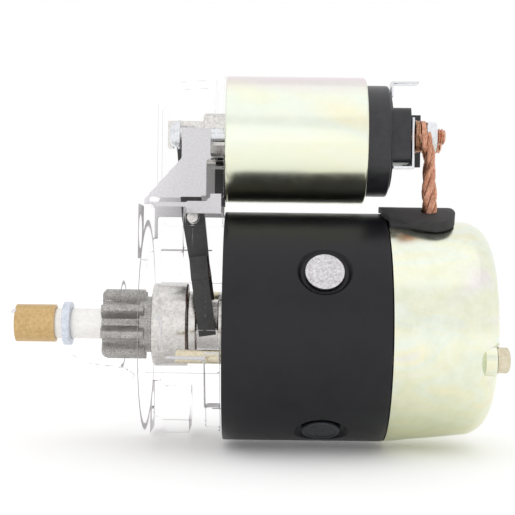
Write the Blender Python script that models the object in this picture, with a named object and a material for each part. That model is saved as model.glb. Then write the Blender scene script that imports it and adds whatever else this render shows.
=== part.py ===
"""Pre-engaged starter motor, modelled as the pieces it comes apart into.

Frame: the motor axis is X, the nose points to -X and the solenoid lies above, at +Z. The origin is
on the motor axis, in the front face of the mounting flange. Shapes are worked out in millimetres
and scaled to metres as each object is made.
"""

from math import cos, pi, radians, sin, sqrt

import bmesh
import bpy
from mathutils import Matrix, Vector

MM = 0.001
SHARP_ANGLE = radians(32)
LARGE_STEPS = 36
MEDIUM_STEPS = 20
SMALL_STEPS = 12
GAP = 0.3  # clearance between pieces that touch on the real object

# Motor body
YOKE_RADIUS = 42.4
YOKE_BORE = 38.3
YOKE_FRONT = 28.9
YOKE_REAR = 87.7
BARREL_RADIUS = 41.0
BARREL_BORE = 37.5
COLLAR_RADIUS = 42.4
COLLAR_FRONT = 22.9
PANEL_RADIUS = 42.0
FOOT_RADIUS = 44.0
FOOT_FRONT = 16.8
HOUSING_REAR = 28.6
PILOT_RADIUS = 36.5
PILOT_LENGTH = 3.0
RIM_RADIUS = 39.4
WEB_REAR = 2.5

# Nose
NOSE_STATIONS = (  # x, top, bottom, half width
    (-51.6, 10.2, -8.9, 9.5),
    (-50.4, 11.2, -9.9, 10.4),
    (-44.0, 11.9, -10.1, 11.2),
    (-40.0, 13.2, -11.0, 13.2),
    (-36.0, 16.4, -13.2, 15.6),
    (-30.3, 20.0, -16.2, 18.3),
    (-22.0, 23.0, -18.8, 20.3),
    (-14.0, 24.6, -19.6, 21.8),
    (-6.0, 25.4, -21.4, 23.4),
    (-3.6, 26.6, -23.6, 25.4),
    (-1.5, 28.6, -26.0, 27.5),
)
WINDOW = (  # x, z round the pinion window
    (-30.0, 0.8),
    (-29.8, 4.5),
    (-25.5, 7.4),
    (-19.7, 9.3),
    (-10.1, 9.1),
    (-6.3, 6.9),
    (-4.6, 3.8),
    (-2.9, 0.1),
    (-1.9, -7.1),
    (-1.9, -16.6),
    (-6.7, -14.7),
    (-13.9, -14.1),
    (-20.1, -13.4),
    (-23.8, -11.5),
    (-28.6, -8.9),
)
RIB = (  # x, z round the web on top of the nose
    (-37.0, 12.0),
    (-36.4, 17.4),
    (-30.3, 22.2),
    (-21.8, 25.3),
    (-14.9, 27.3),
    (-5.7, 29.5),
    (-1.0, 31.0),
    (-1.0, 12.0),
)
RIB_HALF = 3.1

# Shaft and drive
SHAFT_NOSE_RADIUS = 5.65
SHAFT_RADIUS = 7.0
BUSH_RADIUS = 7.0
PINION_TEETH = 8
PINION_TIP_RADIUS = 13.4
PINION_ROOT_RADIUS = 8.2
PINION_FRONT = -16.1
PINION_REAR = -0.4
CLUTCH_RADIUS = 15.5
CLUTCH_FRONT = 2.5
CLUTCH_REAR = 15.5
GROOVE_FRONT = 19.0
GROOVE_REAR = 26.5
SLEEVE_RADIUS = 9.5
DRIVE_COLLAR_RADIUS = 12.5

# Shift lever
PIVOT = (17.0, 0.0, 40.0)
LEVER_LOWER = 40.0
LEVER_UPPER = 29.3
LEVER_TILT = radians(8.26)
PIN_RADIUS = 2.0
PAD_RADIUS = 3.2

# Solenoid
SOLENOID_Z = 69.5
SOLENOID_RADIUS = 23.6
SOLENOID_FRONT = 28.9
SOLENOID_REAR = 80.4
CASE_BORE = 21.6
PLUNGER_RADIUS = 9.8
PLUNGER_REAR = 48.0
CORE_FRONT = 57.5
CORE_REAR = 72.6
CAP_RADIUS = 20.7
CAP_REAR = 89.5
BLOCK_REAR = 96.0
STUD_Z = 70.3
MOTOR_STUD_Y = -12.0
BATTERY_STUD_Y = 12.0

# Armature and field
CORE_RADIUS = 29.3
POLE_ANGLES = (30.0, 120.0, 210.0, 300.0)  # from -Y towards +Z
POLE_FACE_RADIUS = 30.0
POLE_SCREW_X = 64.4
POCKET_RADIUS = 9.6
COMMUTATOR_RADIUS = 17.0
BRUSH_X = (97.0, 106.5)

# Rear cover and through-bolts
COVER_FRONT = 88.0
COVER_REAR = 126.2
COVER_WALL = 2.0
BOLT_ANGLES = (-15.0, 165.0)
BOLT_CIRCLE = 35.4
BOLT_RADIUS = 2.4
BOLT_SEAT = 123.9

# Ears
EAR_Y = -31.0
EAR_Z = 34.2
EAR_HOLE_RADIUS = 5.25
EAR_DEPTH = 15.3

# Motor lead: a smooth curve through these points, from the lug to the field coils
LEAD_RADIUS = 2.3
LEAD_ROUTE = (
    (102.6, -12.0, 63.6),
    (102.9, -12.3, 58.0),
    (103.2, -13.2, 51.0),
    (103.4, -13.7, 45.5),
    (103.3, -12.6, 40.0),
    (102.6, -11.2, 35.6),
)


def clear_scene():
    for obj in list(bpy.data.objects):
        bpy.data.objects.remove(obj, do_unlink=True)


def material(name, colour, roughness, metallic):
    made = bpy.data.materials.new(name)
    made.use_nodes = True
    shader = made.node_tree.nodes["Principled BSDF"]
    shader.inputs["Base Color"].default_value = (*colour, 1.0)
    shader.inputs["Roughness"].default_value = roughness
    shader.inputs["Metallic"].default_value = metallic
    return made


# ---------------------------------------------------------------- shapes, in millimetres


def angle_point(angle, radius, x):
    """A point at an angle in degrees round the motor axis, counted from -Y towards +Z."""
    turn = radians(angle)
    return Vector((x, -radius * cos(turn), radius * sin(turn)))


def turned(section, steps=MEDIUM_STEPS, y=0.0, z=0.0):
    """Solid of revolution about a line along X; the section is a list of (x, radius)."""
    bm = bmesh.new()
    verts = [bm.verts.new((x, 0, radius)) for x, radius in section]
    edges = [bm.edges.new(pair) for pair in zip(verts, verts[1:])]
    if section[0][1] > 0:
        edges.append(bm.edges.new((verts[-1], verts[0])))
    bmesh.ops.spin(
        bm,
        geom=verts + edges,
        cent=(0, 0, 0),
        axis=(1, 0, 0),
        angle=2 * pi,
        steps=steps,
        use_merge=True,
    )
    bmesh.ops.remove_doubles(bm, verts=bm.verts, dist=1e-4)
    middles = [vert for vert in bm.verts if vert.co.yz.length < 1e-3]
    bmesh.ops.dissolve_verts(bm, verts=middles)
    bmesh.ops.translate(bm, vec=(0, y, z), verts=bm.verts)
    return outward(bm)


def outward(bm):
    bmesh.ops.recalc_face_normals(bm, faces=bm.faces)
    return bm


def prism(outline, axis, start, end):
    """Outline extruded along X, Y or Z; its points are given in the other two axes' order."""
    bm = bmesh.new()
    place = {
        "x": lambda a, b: (start, a, b),
        "y": lambda a, b: (a, start, b),
        "z": lambda a, b: (a, b, start),
    }[axis]
    face = bm.faces.new([bm.verts.new(place(a, b)) for a, b in outline])
    made = bmesh.ops.extrude_face_region(bm, geom=[face])["geom"]
    along = {"x": (1, 0, 0), "y": (0, 1, 0), "z": (0, 0, 1)}[axis]
    moved = [item for item in made if isinstance(item, bmesh.types.BMVert)]
    bmesh.ops.translate(bm, vec=Vector(along) * (end - start), verts=moved)
    return outward(bm)


def rounded_outline(low_a, high_a, low_b, high_b, radius, segments=4):
    """Points of a rectangle with round corners."""
    points = []
    corners = ((high_a, high_b, 0), (low_a, high_b, 90), (low_a, low_b, 180), (high_a, low_b, 270))
    for a, b, start in corners:
        centre_a = a - radius if a == high_a else a + radius
        centre_b = b - radius if b == high_b else b + radius
        for i in range(segments + 1):
            turn = radians(start + 90 * i / segments)
            points.append((centre_a + radius * cos(turn), centre_b + radius * sin(turn)))
    return points


def block(x, y, z):
    """A box from three (low, high) pairs."""
    outline = ((x[0], y[0]), (x[1], y[0]), (x[1], y[1]), (x[0], y[1]))
    return prism(outline, "z", z[0], z[1])


def rod(start, end, radius, steps=SMALL_STEPS):
    """A cylinder between two points."""
    start = Vector(start)
    along = Vector(end) - start
    bm = bmesh.new()
    bmesh.ops.create_cone(
        bm,
        cap_ends=True,
        segments=steps,
        radius1=radius,
        radius2=radius,
        depth=along.length,
    )
    turn = Vector((0, 0, 1)).rotation_difference(along)
    place = Matrix.Translation(start + along / 2) @ turn.to_matrix().to_4x4()
    bmesh.ops.transform(bm, matrix=place, verts=bm.verts)
    return outward(bm)


def sector(x, radii, angles, steps=8):
    """A block bounded by two radii and two angles round the motor axis."""
    turns = [angles[0] + (angles[1] - angles[0]) * i / steps for i in range(steps + 1)]
    inner = [angle_point(turn, radii[0], 0).yz for turn in turns]
    outer = [angle_point(turn, radii[1], 0).yz for turn in reversed(turns)]
    return prism([tuple(point) for point in inner + outer], "x", x[0], x[1])


def hexagon(across_flats, start, end, y, z, turn=0.0):
    """A hexagonal prism along X."""
    radius = across_flats / sqrt(3)
    corners = [radians(turn + 60 * i) for i in range(6)]
    outline = [(y + radius * cos(corner), z + radius * sin(corner)) for corner in corners]
    return prism(outline, "x", start, end)


def turned_about_pivot(bm, angle):
    """The mesh turned about the shift lever's pivot."""
    pivot = Vector(PIVOT)
    turn = Matrix.Translation(pivot) @ Matrix.Rotation(angle, 4, "Y") @ Matrix.Translation(-pivot)
    bmesh.ops.transform(bm, matrix=turn, verts=bm.verts)
    return bm


# ---------------------------------------------------------------- objects


def add_object(name, bm, finish=None, origin=(0, 0, 0)):
    """Turn a mesh in millimetres into an object in metres, with its origin where it is asked."""
    bmesh.ops.translate(bm, vec=-Vector(origin), verts=bm.verts)
    bmesh.ops.scale(bm, vec=(MM, MM, MM), verts=bm.verts)
    mesh = bpy.data.meshes.new(name)
    bm.to_mesh(mesh)
    bm.free()
    if finish:
        mesh.materials.append(finish)
    mesh.shade_smooth()
    mesh.set_sharp_from_angle(angle=SHARP_ANGLE)
    obj = bpy.data.objects.new(name, mesh)
    obj.location = Vector(origin) * MM
    bpy.context.scene.collection.objects.link(obj)
    return obj


def boolean(obj, bm, operation):
    tool = add_object(f"{obj.name}_tool", bm)
    tool.hide_render = True
    tool.display_type = "WIRE"
    modifier = obj.modifiers.new(operation.lower(), "BOOLEAN")
    modifier.operation = operation
    modifier.solver = "EXACT"
    modifier.object = tool


def add(obj, bm):
    boolean(obj, bm, "UNION")


def cut(obj, bm):
    boolean(obj, bm, "DIFFERENCE")


# ---------------------------------------------------------------- drive housing


def nose_shape():
    """The nose cone's outside, lofted through its stations."""
    bm = bmesh.new()
    rings = []
    for x, top, bottom, half in NOSE_STATIONS:
        centre = (top + bottom) / 2
        height = (top - bottom) / 2
        turns = [2 * pi * i / MEDIUM_STEPS for i in range(MEDIUM_STEPS)]
        rings.append([bm.verts.new((x, half * cos(t), centre + height * sin(t))) for t in turns])
    for front, rear in zip(rings, rings[1:]):
        for i in range(MEDIUM_STEPS):
            after = (i + 1) % MEDIUM_STEPS
            bm.faces.new((front[i], front[after], rear[after], rear[i]))
    bm.faces.new(rings[0])
    bm.faces.new(rings[-1])
    return outward(bm)


def housing_body():
    section = (
        (-PILOT_LENGTH, 0),
        (-PILOT_LENGTH, PILOT_RADIUS - 0.6),
        (-PILOT_LENGTH + 0.6, PILOT_RADIUS),
        (0, PILOT_RADIUS),
        (0, RIM_RADIUS),
        (2.0, RIM_RADIUS),
        (2.6, BARREL_RADIUS),
        (COLLAR_FRONT, BARREL_RADIUS),
        (COLLAR_FRONT + 0.5, COLLAR_RADIUS),
        (HOUSING_REAR, COLLAR_RADIUS),
        (HOUSING_REAR, 0),
    )
    return turned(section, LARGE_STEPS)


def raised_areas():
    """The foot under the barrel and the raised panel on its near side."""
    foot = sector((FOOT_FRONT, HOUSING_REAR - 0.2), (38.5, FOOT_RADIUS), (-126.0, -54.0), 10)
    panel = sector((8.4, 26.0), (38.5, PANEL_RADIUS), (-12.3, 8.0), 5)
    shoulder = sector((4.6, 25.8), (38.5, PANEL_RADIUS - 0.1), (6.5, 58.0), 10)
    fillets = []
    for side in (-1, 1):
        slope = ((20.0, 29.0), (20.0, 41.0), (22.5, 40.8), (24.7, 37.8), (27.6, 33.4), (30.7, 28.4))
        fillets.append(prism([(side * y, z) for y, z in slope], "x", 2.2, 27.4))
    return (foot, panel, shoulder, *fillets)


def barrel_clearance():
    end = HOUSING_REAR + 2
    section = ((WEB_REAR, 0), (WEB_REAR, BARREL_BORE), (end, BARREL_BORE), (end, 0))
    return turned(section, LARGE_STEPS)


def nose_bore():
    section = (
        (-49.0, 0),
        (-49.0, BUSH_RADIUS + GAP),
        (-32.0, BUSH_RADIUS + GAP),
        (-32.0, 9.5),
        (-29.5, 9.5),
        (-29.5, 14.6),
        (-9.0, 14.6),
        (-9.0, 16.7),
        (WEB_REAR + 1, 16.7),
        (WEB_REAR + 1, 0),
    )
    return turned(section, MEDIUM_STEPS)


def lever_chamber_shapes():
    """The tall front part over the lever, and the wide part that carries the solenoid."""
    front = ((3.8, 36), (3.8, 81.7), (12.6, 89.8), (27.0, 90.7), (27.0, 36))
    low = ((0.3, 30), (0.3, 46), (13.1, 60.5), (28.0, 60.5), (28.0, 30))
    shoulder = [(-22.5, 58.0), (-22.5, 71.6), (-20.6, 75.6), (-15.5, 79.6), (-10.0, 80.8)]
    shoulder += [(-y, z) for y, z in reversed(shoulder)]
    return (
        prism(front, "y", -10.5, 10.5),
        prism(low, "y", -22.5, 22.5),
        prism(shoulder, "x", 13.1, 27.8),
    )


def solenoid_flange():
    section = ((25.3, 0), (25.3, SOLENOID_RADIUS), (HOUSING_REAR, SOLENOID_RADIUS), (HOUSING_REAR, 0))
    return turned(section, LARGE_STEPS, z=SOLENOID_Z)


def lever_space():
    """Room for the lever to swing and for the plunger's hook."""
    outline = (
        (6.5, 30),
        (6.5, 80.5),
        (13.0, 85.0),
        (24.5, 85.0),
        (24.5, 59.0),
        (30.0, 59.0),
        (30.0, 30),
    )
    return prism(outline, "y", -8.0, 8.0)


def plunger_hole():
    radius = PLUNGER_RADIUS + 0.8
    section = ((6.5, 0), (6.5, 8.4), (16.0, radius), (30.0, radius), (30.0, 0))
    return turned(section, MEDIUM_STEPS, z=SOLENOID_Z)


def ear(side):
    """One fixing ear: a plate on the flange plane, the block behind it and the gusset under it."""
    plate = rounded_outline(-40.0, -18.5, 24.5, 44.0, 1.5, 2)
    body = (
        (-39.0, 28.0),
        (-39.0, 40.4),
        (-36.4, 43.0),
        (-16.5, 43.0),
        (-16.5, 25.3),
        (-36.4, 25.3),
    )
    gusset = ((-30.0, 27.0), (-38.6, 27.4), (-41.2, 16.0), (-42.3, 5.0), (-36.0, 5.0))
    shapes = [prism(plate, "x", 0.0, 4.8), prism(body, "x", 3.0, EAR_DEPTH)]
    shapes.append(prism(gusset, "x", 3.6, 14.7))
    if side > 0:
        for shape in shapes:
            bmesh.ops.rotate(shape, matrix=Matrix.Rotation(pi, 3, "X"), verts=shape.verts)
    return shapes


def drive_housing(finish):
    obj = add_object("drive_housing", housing_body(), finish)
    add(obj, nose_shape())
    add(obj, prism(RIB, "y", -RIB_HALF, RIB_HALF))
    for shape in raised_areas() + lever_chamber_shapes():
        add(obj, shape)
    add(obj, solenoid_flange())
    for side in (-1, 1):
        for shape in ear(side):
            add(obj, shape)
    cut(obj, barrel_clearance())
    for angle in BOLT_ANGLES:
        front = angle_point(angle, BOLT_CIRCLE, 1.5)
        add(obj, rod(front, angle_point(angle, BOLT_CIRCLE, 28.0), 5.5))
    cut(obj, nose_bore())
    cut(obj, prism(WINDOW, "y", -40.0, -4.0))
    cut(obj, lever_space())
    cut(obj, plunger_hole())
    cut(obj, block((20.6, 30.0), (-50.0, -36.8), (-5.4, -0.1)))
    cut(obj, block((24.0, 30.0), (-30.0, -21.3), (61.1, 70.6)))
    cut(obj, block((24.0, 30.0), (-30.0, -10.5), (57.6, 60.8)))
    for side in (-1, 1):
        centre_y = EAR_Y * -side
        centre_z = EAR_Z * -side
        rear = (EAR_DEPTH + 2, centre_y, centre_z)
        cut(obj, rod((-2, centre_y, centre_z), rear, EAR_HOLE_RADIUS))
    for angle in BOLT_ANGLES:
        front = angle_point(angle, BOLT_CIRCLE, 10)
        cut(obj, rod(front, angle_point(angle, BOLT_CIRCLE, 30), BOLT_RADIUS + GAP))
    for y in (-17.0, 17.0):
        cut(obj, rod((11, y, SOLENOID_Z), (30, y, SOLENOID_Z), 2.9))
    pin_hole = PIN_RADIUS + GAP
    cut(obj, rod((PIVOT[0], -11.0, PIVOT[2]), (PIVOT[0], 11.0, PIVOT[2]), pin_hole))
    return obj


def pinion(finish):
    """Eight straight teeth, round the shaft, with the boss that runs into the clutch."""
    pitch = 2 * pi / PINION_TEETH
    tooth_root = pitch * 0.30
    tooth_tip = pitch * 0.12
    outline = []
    for i in range(PINION_TEETH):
        middle = radians(-60) + pitch * i
        shape = (
            (middle - tooth_root, PINION_ROOT_RADIUS),
            (middle - (tooth_root + tooth_tip) / 2, (PINION_ROOT_RADIUS + PINION_TIP_RADIUS) / 2 + 0.6),
            (middle - tooth_tip, PINION_TIP_RADIUS),
            (middle + tooth_tip, PINION_TIP_RADIUS),
            (middle + (tooth_root + tooth_tip) / 2, (PINION_ROOT_RADIUS + PINION_TIP_RADIUS) / 2 + 0.6),
            (middle + tooth_root, PINION_ROOT_RADIUS),
        )
        outline += [(-radius * cos(turn), radius * sin(turn)) for turn, radius in shape]
    obj = add_object("pinion", prism(outline, "x", PINION_FRONT, PINION_REAR), finish)
    add(obj, turned(((-2.0, 0), (-2.0, 10.4), (CLUTCH_FRONT - GAP, 10.4), (CLUTCH_FRONT - GAP, 0))))
    cut(obj, rod((-20, 0, 0), (5, 0, 0), SHAFT_NOSE_RADIUS + GAP, MEDIUM_STEPS))
    return obj


# ---------------------------------------------------------------- shaft, armature and drive


def armature_shaft(finish):
    section = (
        (-47.6, 0),
        (-47.6, SHAFT_NOSE_RADIUS - 0.7),
        (-46.9, SHAFT_NOSE_RADIUS),
        (CLUTCH_FRONT + 0.2, SHAFT_NOSE_RADIUS),
        (CLUTCH_FRONT + 0.2, SHAFT_RADIUS),
        (110.5, SHAFT_RADIUS),
        (110.5, 5.0),
        (121.0, 5.0),
        (121.0, 0),
    )
    return add_object("armature_shaft", turned(section), finish)


def ring(name, finish, x, radii, steps=MEDIUM_STEPS, chamfer=0.0, z=0.0):
    """A plain ring or tube, with its outer edges chamfered if that is asked."""
    section = [(x[0], radii[0]), (x[0], radii[1] - chamfer)]
    if chamfer:
        section.append((x[0] + chamfer, radii[1]))
        section.append((x[1] - chamfer, radii[1]))
    section.append((x[1], radii[1] - chamfer))
    section.append((x[1], radii[0]))
    return add_object(name, turned(section, steps, z=z), finish, (0, 0, z))


def armature(steel, laminations, copper):
    armature_shaft(steel)
    bore = SHAFT_RADIUS + GAP
    ring("armature_core", laminations, (46.5, 82.3), (bore, CORE_RADIUS))
    ring("armature_winding_front", copper, (37.0, 46.2), (bore, 26.5))
    ring("armature_winding_rear", copper, (82.6, 90.5), (bore, 26.5))
    ring("commutator", copper, (91.0, 108.0), (bore, COMMUTATOR_RADIUS))
    nose_bore_radius = SHAFT_NOSE_RADIUS + GAP
    ring("stop_collar", laminations, (-31.1, -28.0), (nose_bore_radius, 8.1), MEDIUM_STEPS, 0.5)


def clutch_shell(finish):
    bore = SHAFT_RADIUS + GAP
    section = (
        (CLUTCH_FRONT, bore),
        (CLUTCH_FRONT, CLUTCH_RADIUS - 1.2),
        (CLUTCH_FRONT + 1.2, CLUTCH_RADIUS),
        (CLUTCH_REAR - 0.6, CLUTCH_RADIUS),
        (CLUTCH_REAR, CLUTCH_RADIUS - 0.6),
        (CLUTCH_REAR, bore),
    )
    return add_object("clutch_shell", turned(section), finish)


def drive_sleeve(finish):
    bore = SHAFT_RADIUS + GAP
    section = (
        (CLUTCH_REAR + GAP, bore),
        (CLUTCH_REAR + GAP, DRIVE_COLLAR_RADIUS),
        (GROOVE_FRONT - 0.3, DRIVE_COLLAR_RADIUS),
        (GROOVE_FRONT - 0.3, SLEEVE_RADIUS),
        (GROOVE_REAR + 0.3, SLEEVE_RADIUS),
        (GROOVE_REAR + 0.3, DRIVE_COLLAR_RADIUS),
        (29.0, DRIVE_COLLAR_RADIUS),
        (29.0, SLEEVE_RADIUS),
        (31.0, SLEEVE_RADIUS),
        (31.0, bore),
    )
    return add_object("drive_sleeve", turned(section), finish)


def shift_lever(finish):
    """A forked plastic lever, drawn upright over its pivot and tilted to rest."""
    x, _, z = PIVOT
    foot = z - LEVER_LOWER
    top = z + LEVER_UPPER
    half = ((3.4, 20.0), (4.2, z), (2.2, top + 3.0))
    stem = [(x - reach, height) for reach, height in half]
    stem += [(x + reach, height) for reach, height in reversed(half)]
    bm = prism(stem, "y", -3.4, 3.4)
    obj = add_object("shift_lever", turned_about_pivot(bm, -LEVER_TILT), finish, PIVOT)
    fork_top = ((-16.0, 17.0), (-9.0, 25.5), (9.0, 25.5), (16.0, 17.0))
    bridge = prism(fork_top, "x", x - 3.2, x + 3.2)
    add(obj, turned_about_pivot(bridge, -LEVER_TILT))
    for side in (-1, 1):
        low, high = sorted((13.2 * side, 15.8 * side))
        arm = block((x - 3.1, x + 3.1), (low, high), (foot - 3.5, 20.0))
        add(obj, turned_about_pivot(arm, -LEVER_TILT))
        pad = rod((x, 10.0 * side, foot), (x, 14.5 * side, foot), PAD_RADIUS)
        add(obj, turned_about_pivot(pad, -LEVER_TILT))
    slot = block((x - 9.0, x + 9.0), (-9.6, 9.6), (foot - 9.0, 17.2))
    cut(obj, turned_about_pivot(slot, -LEVER_TILT))
    cut(obj, rod((x, -8, z), (x, 8, z), PIN_RADIUS + GAP))
    return obj


# ---------------------------------------------------------------- yoke and field


def yoke(finish):
    section = (
        (YOKE_FRONT, YOKE_BORE),
        (YOKE_FRONT, YOKE_RADIUS - 0.4),
        (YOKE_FRONT + 0.4, YOKE_RADIUS),
        (YOKE_REAR - 0.4, YOKE_RADIUS),
        (YOKE_REAR, YOKE_RADIUS - 0.4),
        (YOKE_REAR, YOKE_BORE),
    )
    obj = add_object("yoke", turned(section, LARGE_STEPS), finish)
    for angle in POLE_ANGLES:
        floor = angle_point(angle, YOKE_RADIUS - 1.8, POLE_SCREW_X)
        outside = angle_point(angle, YOKE_RADIUS + 6, POLE_SCREW_X)
        cut(obj, rod(floor, outside, POCKET_RADIUS, MEDIUM_STEPS))
        cut(obj, rod(angle_point(angle, 30, POLE_SCREW_X), outside, 4.3))
    return obj


def pole_screw(name, angle, finish):
    """A flat-headed screw in its pocket, with a small dimple at the middle of its head."""
    obj = add_object(name, rod((0, 0, 0), (0, 0, 1.3), 7.0, MEDIUM_STEPS), finish)
    add(obj, rod((0, 0, -11.0), (0, 0, 0.6), 4.0))
    cut(obj, rod((0, 0, 0.9), (0, 0, 2.0), 0.9))
    aim = angle_point(angle, 1.0, 0)
    obj.location = angle_point(angle, YOKE_RADIUS - 1.8 + GAP, POLE_SCREW_X) * MM
    obj.rotation_euler = Vector((0, 0, 1)).rotation_difference(aim).to_euler()
    for modifier in obj.modifiers:
        modifier.object.parent = obj
    return obj


def pole_shoe(name, angle, finish):
    obj = add_object(name, sector((47, 81), (32.0, YOKE_BORE - GAP), (angle - 17, angle + 17)), finish)
    add(obj, sector((46, 82), (POLE_FACE_RADIUS, 32.2), (angle - 31, angle + 31), 12))
    cut(obj, rod(angle_point(angle, 28, POLE_SCREW_X), angle_point(angle, 42, POLE_SCREW_X), 4.3))
    return obj


def field_coil(name, angle, finish):
    obj = add_object(name, sector((41.5, 86.0), (32.8, 37.6), (angle - 29, angle + 29), 12), finish)
    cut(obj, sector((46.5, 81.5), (30.0, 40.0), (angle - 17.8, angle + 17.8)))
    return obj


def field(steel, winding, screw):
    for number, angle in enumerate(POLE_ANGLES, 1):
        pole_shoe(f"pole_shoe_{number}", angle, steel)
        field_coil(f"field_coil_{number}", angle, winding)
        pole_screw(f"pole_screw_{number}", angle, screw)


# ---------------------------------------------------------------- rear end


def cover_section():
    """Half section of the drawn cover: its skirt tapers, and its corner is round."""
    outer = [(COVER_FRONT, YOKE_RADIUS), (97.0, 41.5), (117.0, 39.6)]
    centre_x, centre_r, corner = 116.4, 29.8, 9.8
    for turn in (65, 40, 17, 0):
        outer.append((centre_x + corner * cos(radians(turn)), centre_r + corner * sin(radians(turn))))
    inner = [(COVER_REAR - COVER_WALL, 0), (COVER_REAR - COVER_WALL, 29.5)]
    corner -= COVER_WALL
    for turn in (17, 40, 65):
        inner.append((centre_x + corner * cos(radians(turn)), centre_r + corner * sin(radians(turn))))
    inner += [(117.0, 37.6), (97.0, 39.5), (COVER_FRONT, 40.3)]
    return outer + [(COVER_REAR, 0)], inner


def rear_cover(finish):
    outer, inner = cover_section()
    obj = add_object("rear_cover", turned([(COVER_FRONT, 0)] + outer, LARGE_STEPS), finish)
    cut(obj, turned(inner + [(COVER_FRONT - 2, 40.3), (COVER_FRONT - 2, 0)], LARGE_STEPS))
    for angle in BOLT_ANGLES:
        seat = angle_point(angle, BOLT_CIRCLE, BOLT_SEAT)
        outside = angle_point(angle, BOLT_CIRCLE, COVER_REAR + 4)
        add(obj, rod(angle_point(angle, BOLT_CIRCLE, 120), seat, 5.5))
        cut(obj, rod(seat, outside, 6.0))
        cut(obj, rod(angle_point(angle, BOLT_CIRCLE, 108), outside, 2.8))
    boss = ((113.5, 7.5 + GAP), (113.5, 10.2), (COVER_REAR - 1, 10.2), (COVER_REAR - 1, 7.5 + GAP))
    add(obj, turned(boss))
    slot = sector((COVER_FRONT - 3, 106.3), (34.0, 46.0), (60.0, 80.0), 4)
    cut(obj, slot)
    return obj


def brush_plate(finish):
    """Plate across the motor behind the commutator, with a channel for each brush."""
    section = ((108.6, 9.0), (108.6, 36.3), (110.1, 36.3), (110.1, 9.0))
    obj = add_object("brush_plate", turned(section, LARGE_STEPS), finish)
    for angle in POLE_ANGLES:
        for side in (-1, 1):
            low, high = sorted((side * 4.1, side * 5.3))
            wall = block((98.0, 109.2), (low, high), (19.5, 31.0))
            bmesh.ops.rotate(wall, matrix=Matrix.Rotation(radians(90 - angle), 3, "X"), verts=wall.verts)
            add(obj, wall)
    for angle in BOLT_ANGLES:
        cut(obj, rod(angle_point(angle, BOLT_CIRCLE, 106), angle_point(angle, BOLT_CIRCLE, 112), 3.2))
    return obj


def brush(name, angle, finish):
    radius = COMMUTATOR_RADIUS + GAP
    outline = ((-3.7, 17.7), (0.0, radius), (3.7, 17.7), (3.7, 26.5), (-3.7, 26.5))
    bm = prism(outline, "x", *BRUSH_X)
    bmesh.ops.rotate(bm, matrix=Matrix.Rotation(radians(90 - angle), 3, "X"), verts=bm.verts)
    return add_object(name, bm, finish)


def brush_spring(name, angle, finish):
    """A bowed leaf that presses on the brush's back."""
    points = [(3.6 * sin(radians(turn)), 24.3 + 2.7 * cos(radians(turn))) for turn in range(-75, 76, 25)]
    outside = [(y, z + 0.6) for y, z in points]
    bm = prism(points + outside[::-1], "x", BRUSH_X[0] + 3, BRUSH_X[1] - 3)
    bmesh.ops.translate(bm, vec=(0, 0, 2.0), verts=bm.verts)
    bmesh.ops.rotate(bm, matrix=Matrix.Rotation(radians(90 - angle), 3, "X"), verts=bm.verts)
    return add_object(name, bm, finish)


def brushes(plate, carbon, spring):
    brush_plate(plate)
    for number, angle in enumerate(POLE_ANGLES, 1):
        brush(f"brush_{number}", angle, carbon)
        brush_spring(f"brush_spring_{number}", angle, spring)


def through_bolt(name, angle, finish):
    centre = angle_point(angle, BOLT_CIRCLE, 0)
    section = (
        (13.0, 0),
        (13.0, BOLT_RADIUS),
        (BOLT_SEAT + GAP, BOLT_RADIUS),
        (BOLT_SEAT + GAP, 4.65),
        (BOLT_SEAT + 1.3, 4.65),
        (BOLT_SEAT + 1.3, 0),
    )
    obj = add_object(name, turned(section, SMALL_STEPS, centre.y, centre.z), finish)
    add(obj, hexagon(7.8, BOLT_SEAT + 1.0, BOLT_SEAT + 4.8, centre.y, centre.z, 30.0))
    return obj


# ---------------------------------------------------------------- solenoid


def solenoid_case(finish):
    """Steel can: front plate with the plunger's hole, rear edge rolled over the cap."""
    section = (
        (SOLENOID_FRONT, PLUNGER_RADIUS + 0.5),
        (SOLENOID_FRONT, SOLENOID_RADIUS - 1.0),
        (SOLENOID_FRONT + 1.0, SOLENOID_RADIUS),
        (SOLENOID_REAR - 1.2, SOLENOID_RADIUS),
        (SOLENOID_REAR, SOLENOID_RADIUS - 1.2),
        (SOLENOID_REAR, 21.0),
        (SOLENOID_REAR - 1.2, 21.0),
        (SOLENOID_REAR - 1.2, CASE_BORE),
        (SOLENOID_FRONT + 3.5, CASE_BORE),
        (SOLENOID_FRONT + 3.5, PLUNGER_RADIUS + 0.5),
    )
    obj = add_object("solenoid_case", turned(section, LARGE_STEPS, z=SOLENOID_Z), finish, (0, 0, SOLENOID_Z))
    for y in (-17.0, 17.0):
        cut(obj, rod((SOLENOID_FRONT - 2, y, SOLENOID_Z), (SOLENOID_FRONT + 6, y, SOLENOID_Z), 2.8, 12))
    return obj


def solenoid_core(finish):
    section = (
        (CORE_FRONT, 2.0),
        (CORE_FRONT, 10.2),
        (66.4, 10.2),
        (66.4, 21.3),
        (CORE_REAR, 21.3),
        (CORE_REAR, 2.0),
    )
    return add_object("solenoid_core", turned(section, z=SOLENOID_Z), finish, (0, 0, SOLENOID_Z))


def plunger(finish):
    """Soft iron plunger, hollow for its spring, with a hooked tongue for the lever's top."""
    section = (
        (20.5, 0),
        (20.5, PLUNGER_RADIUS - 0.6),
        (21.1, PLUNGER_RADIUS),
        (PLUNGER_REAR, PLUNGER_RADIUS),
        (PLUNGER_REAR, 8.3),
        (40.0, 8.3),
        (40.0, 0),
    )
    obj = add_object("plunger", turned(section, z=SOLENOID_Z), finish, (0, 0, SOLENOID_Z))
    add(obj, block((7.2, 22.0), (-3.6, 3.6), (66.0, 76.0)))
    cut(obj, block((9.2, 17.2), (-10.0, 10.0), (60.0, 74.2)))
    return obj


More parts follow.
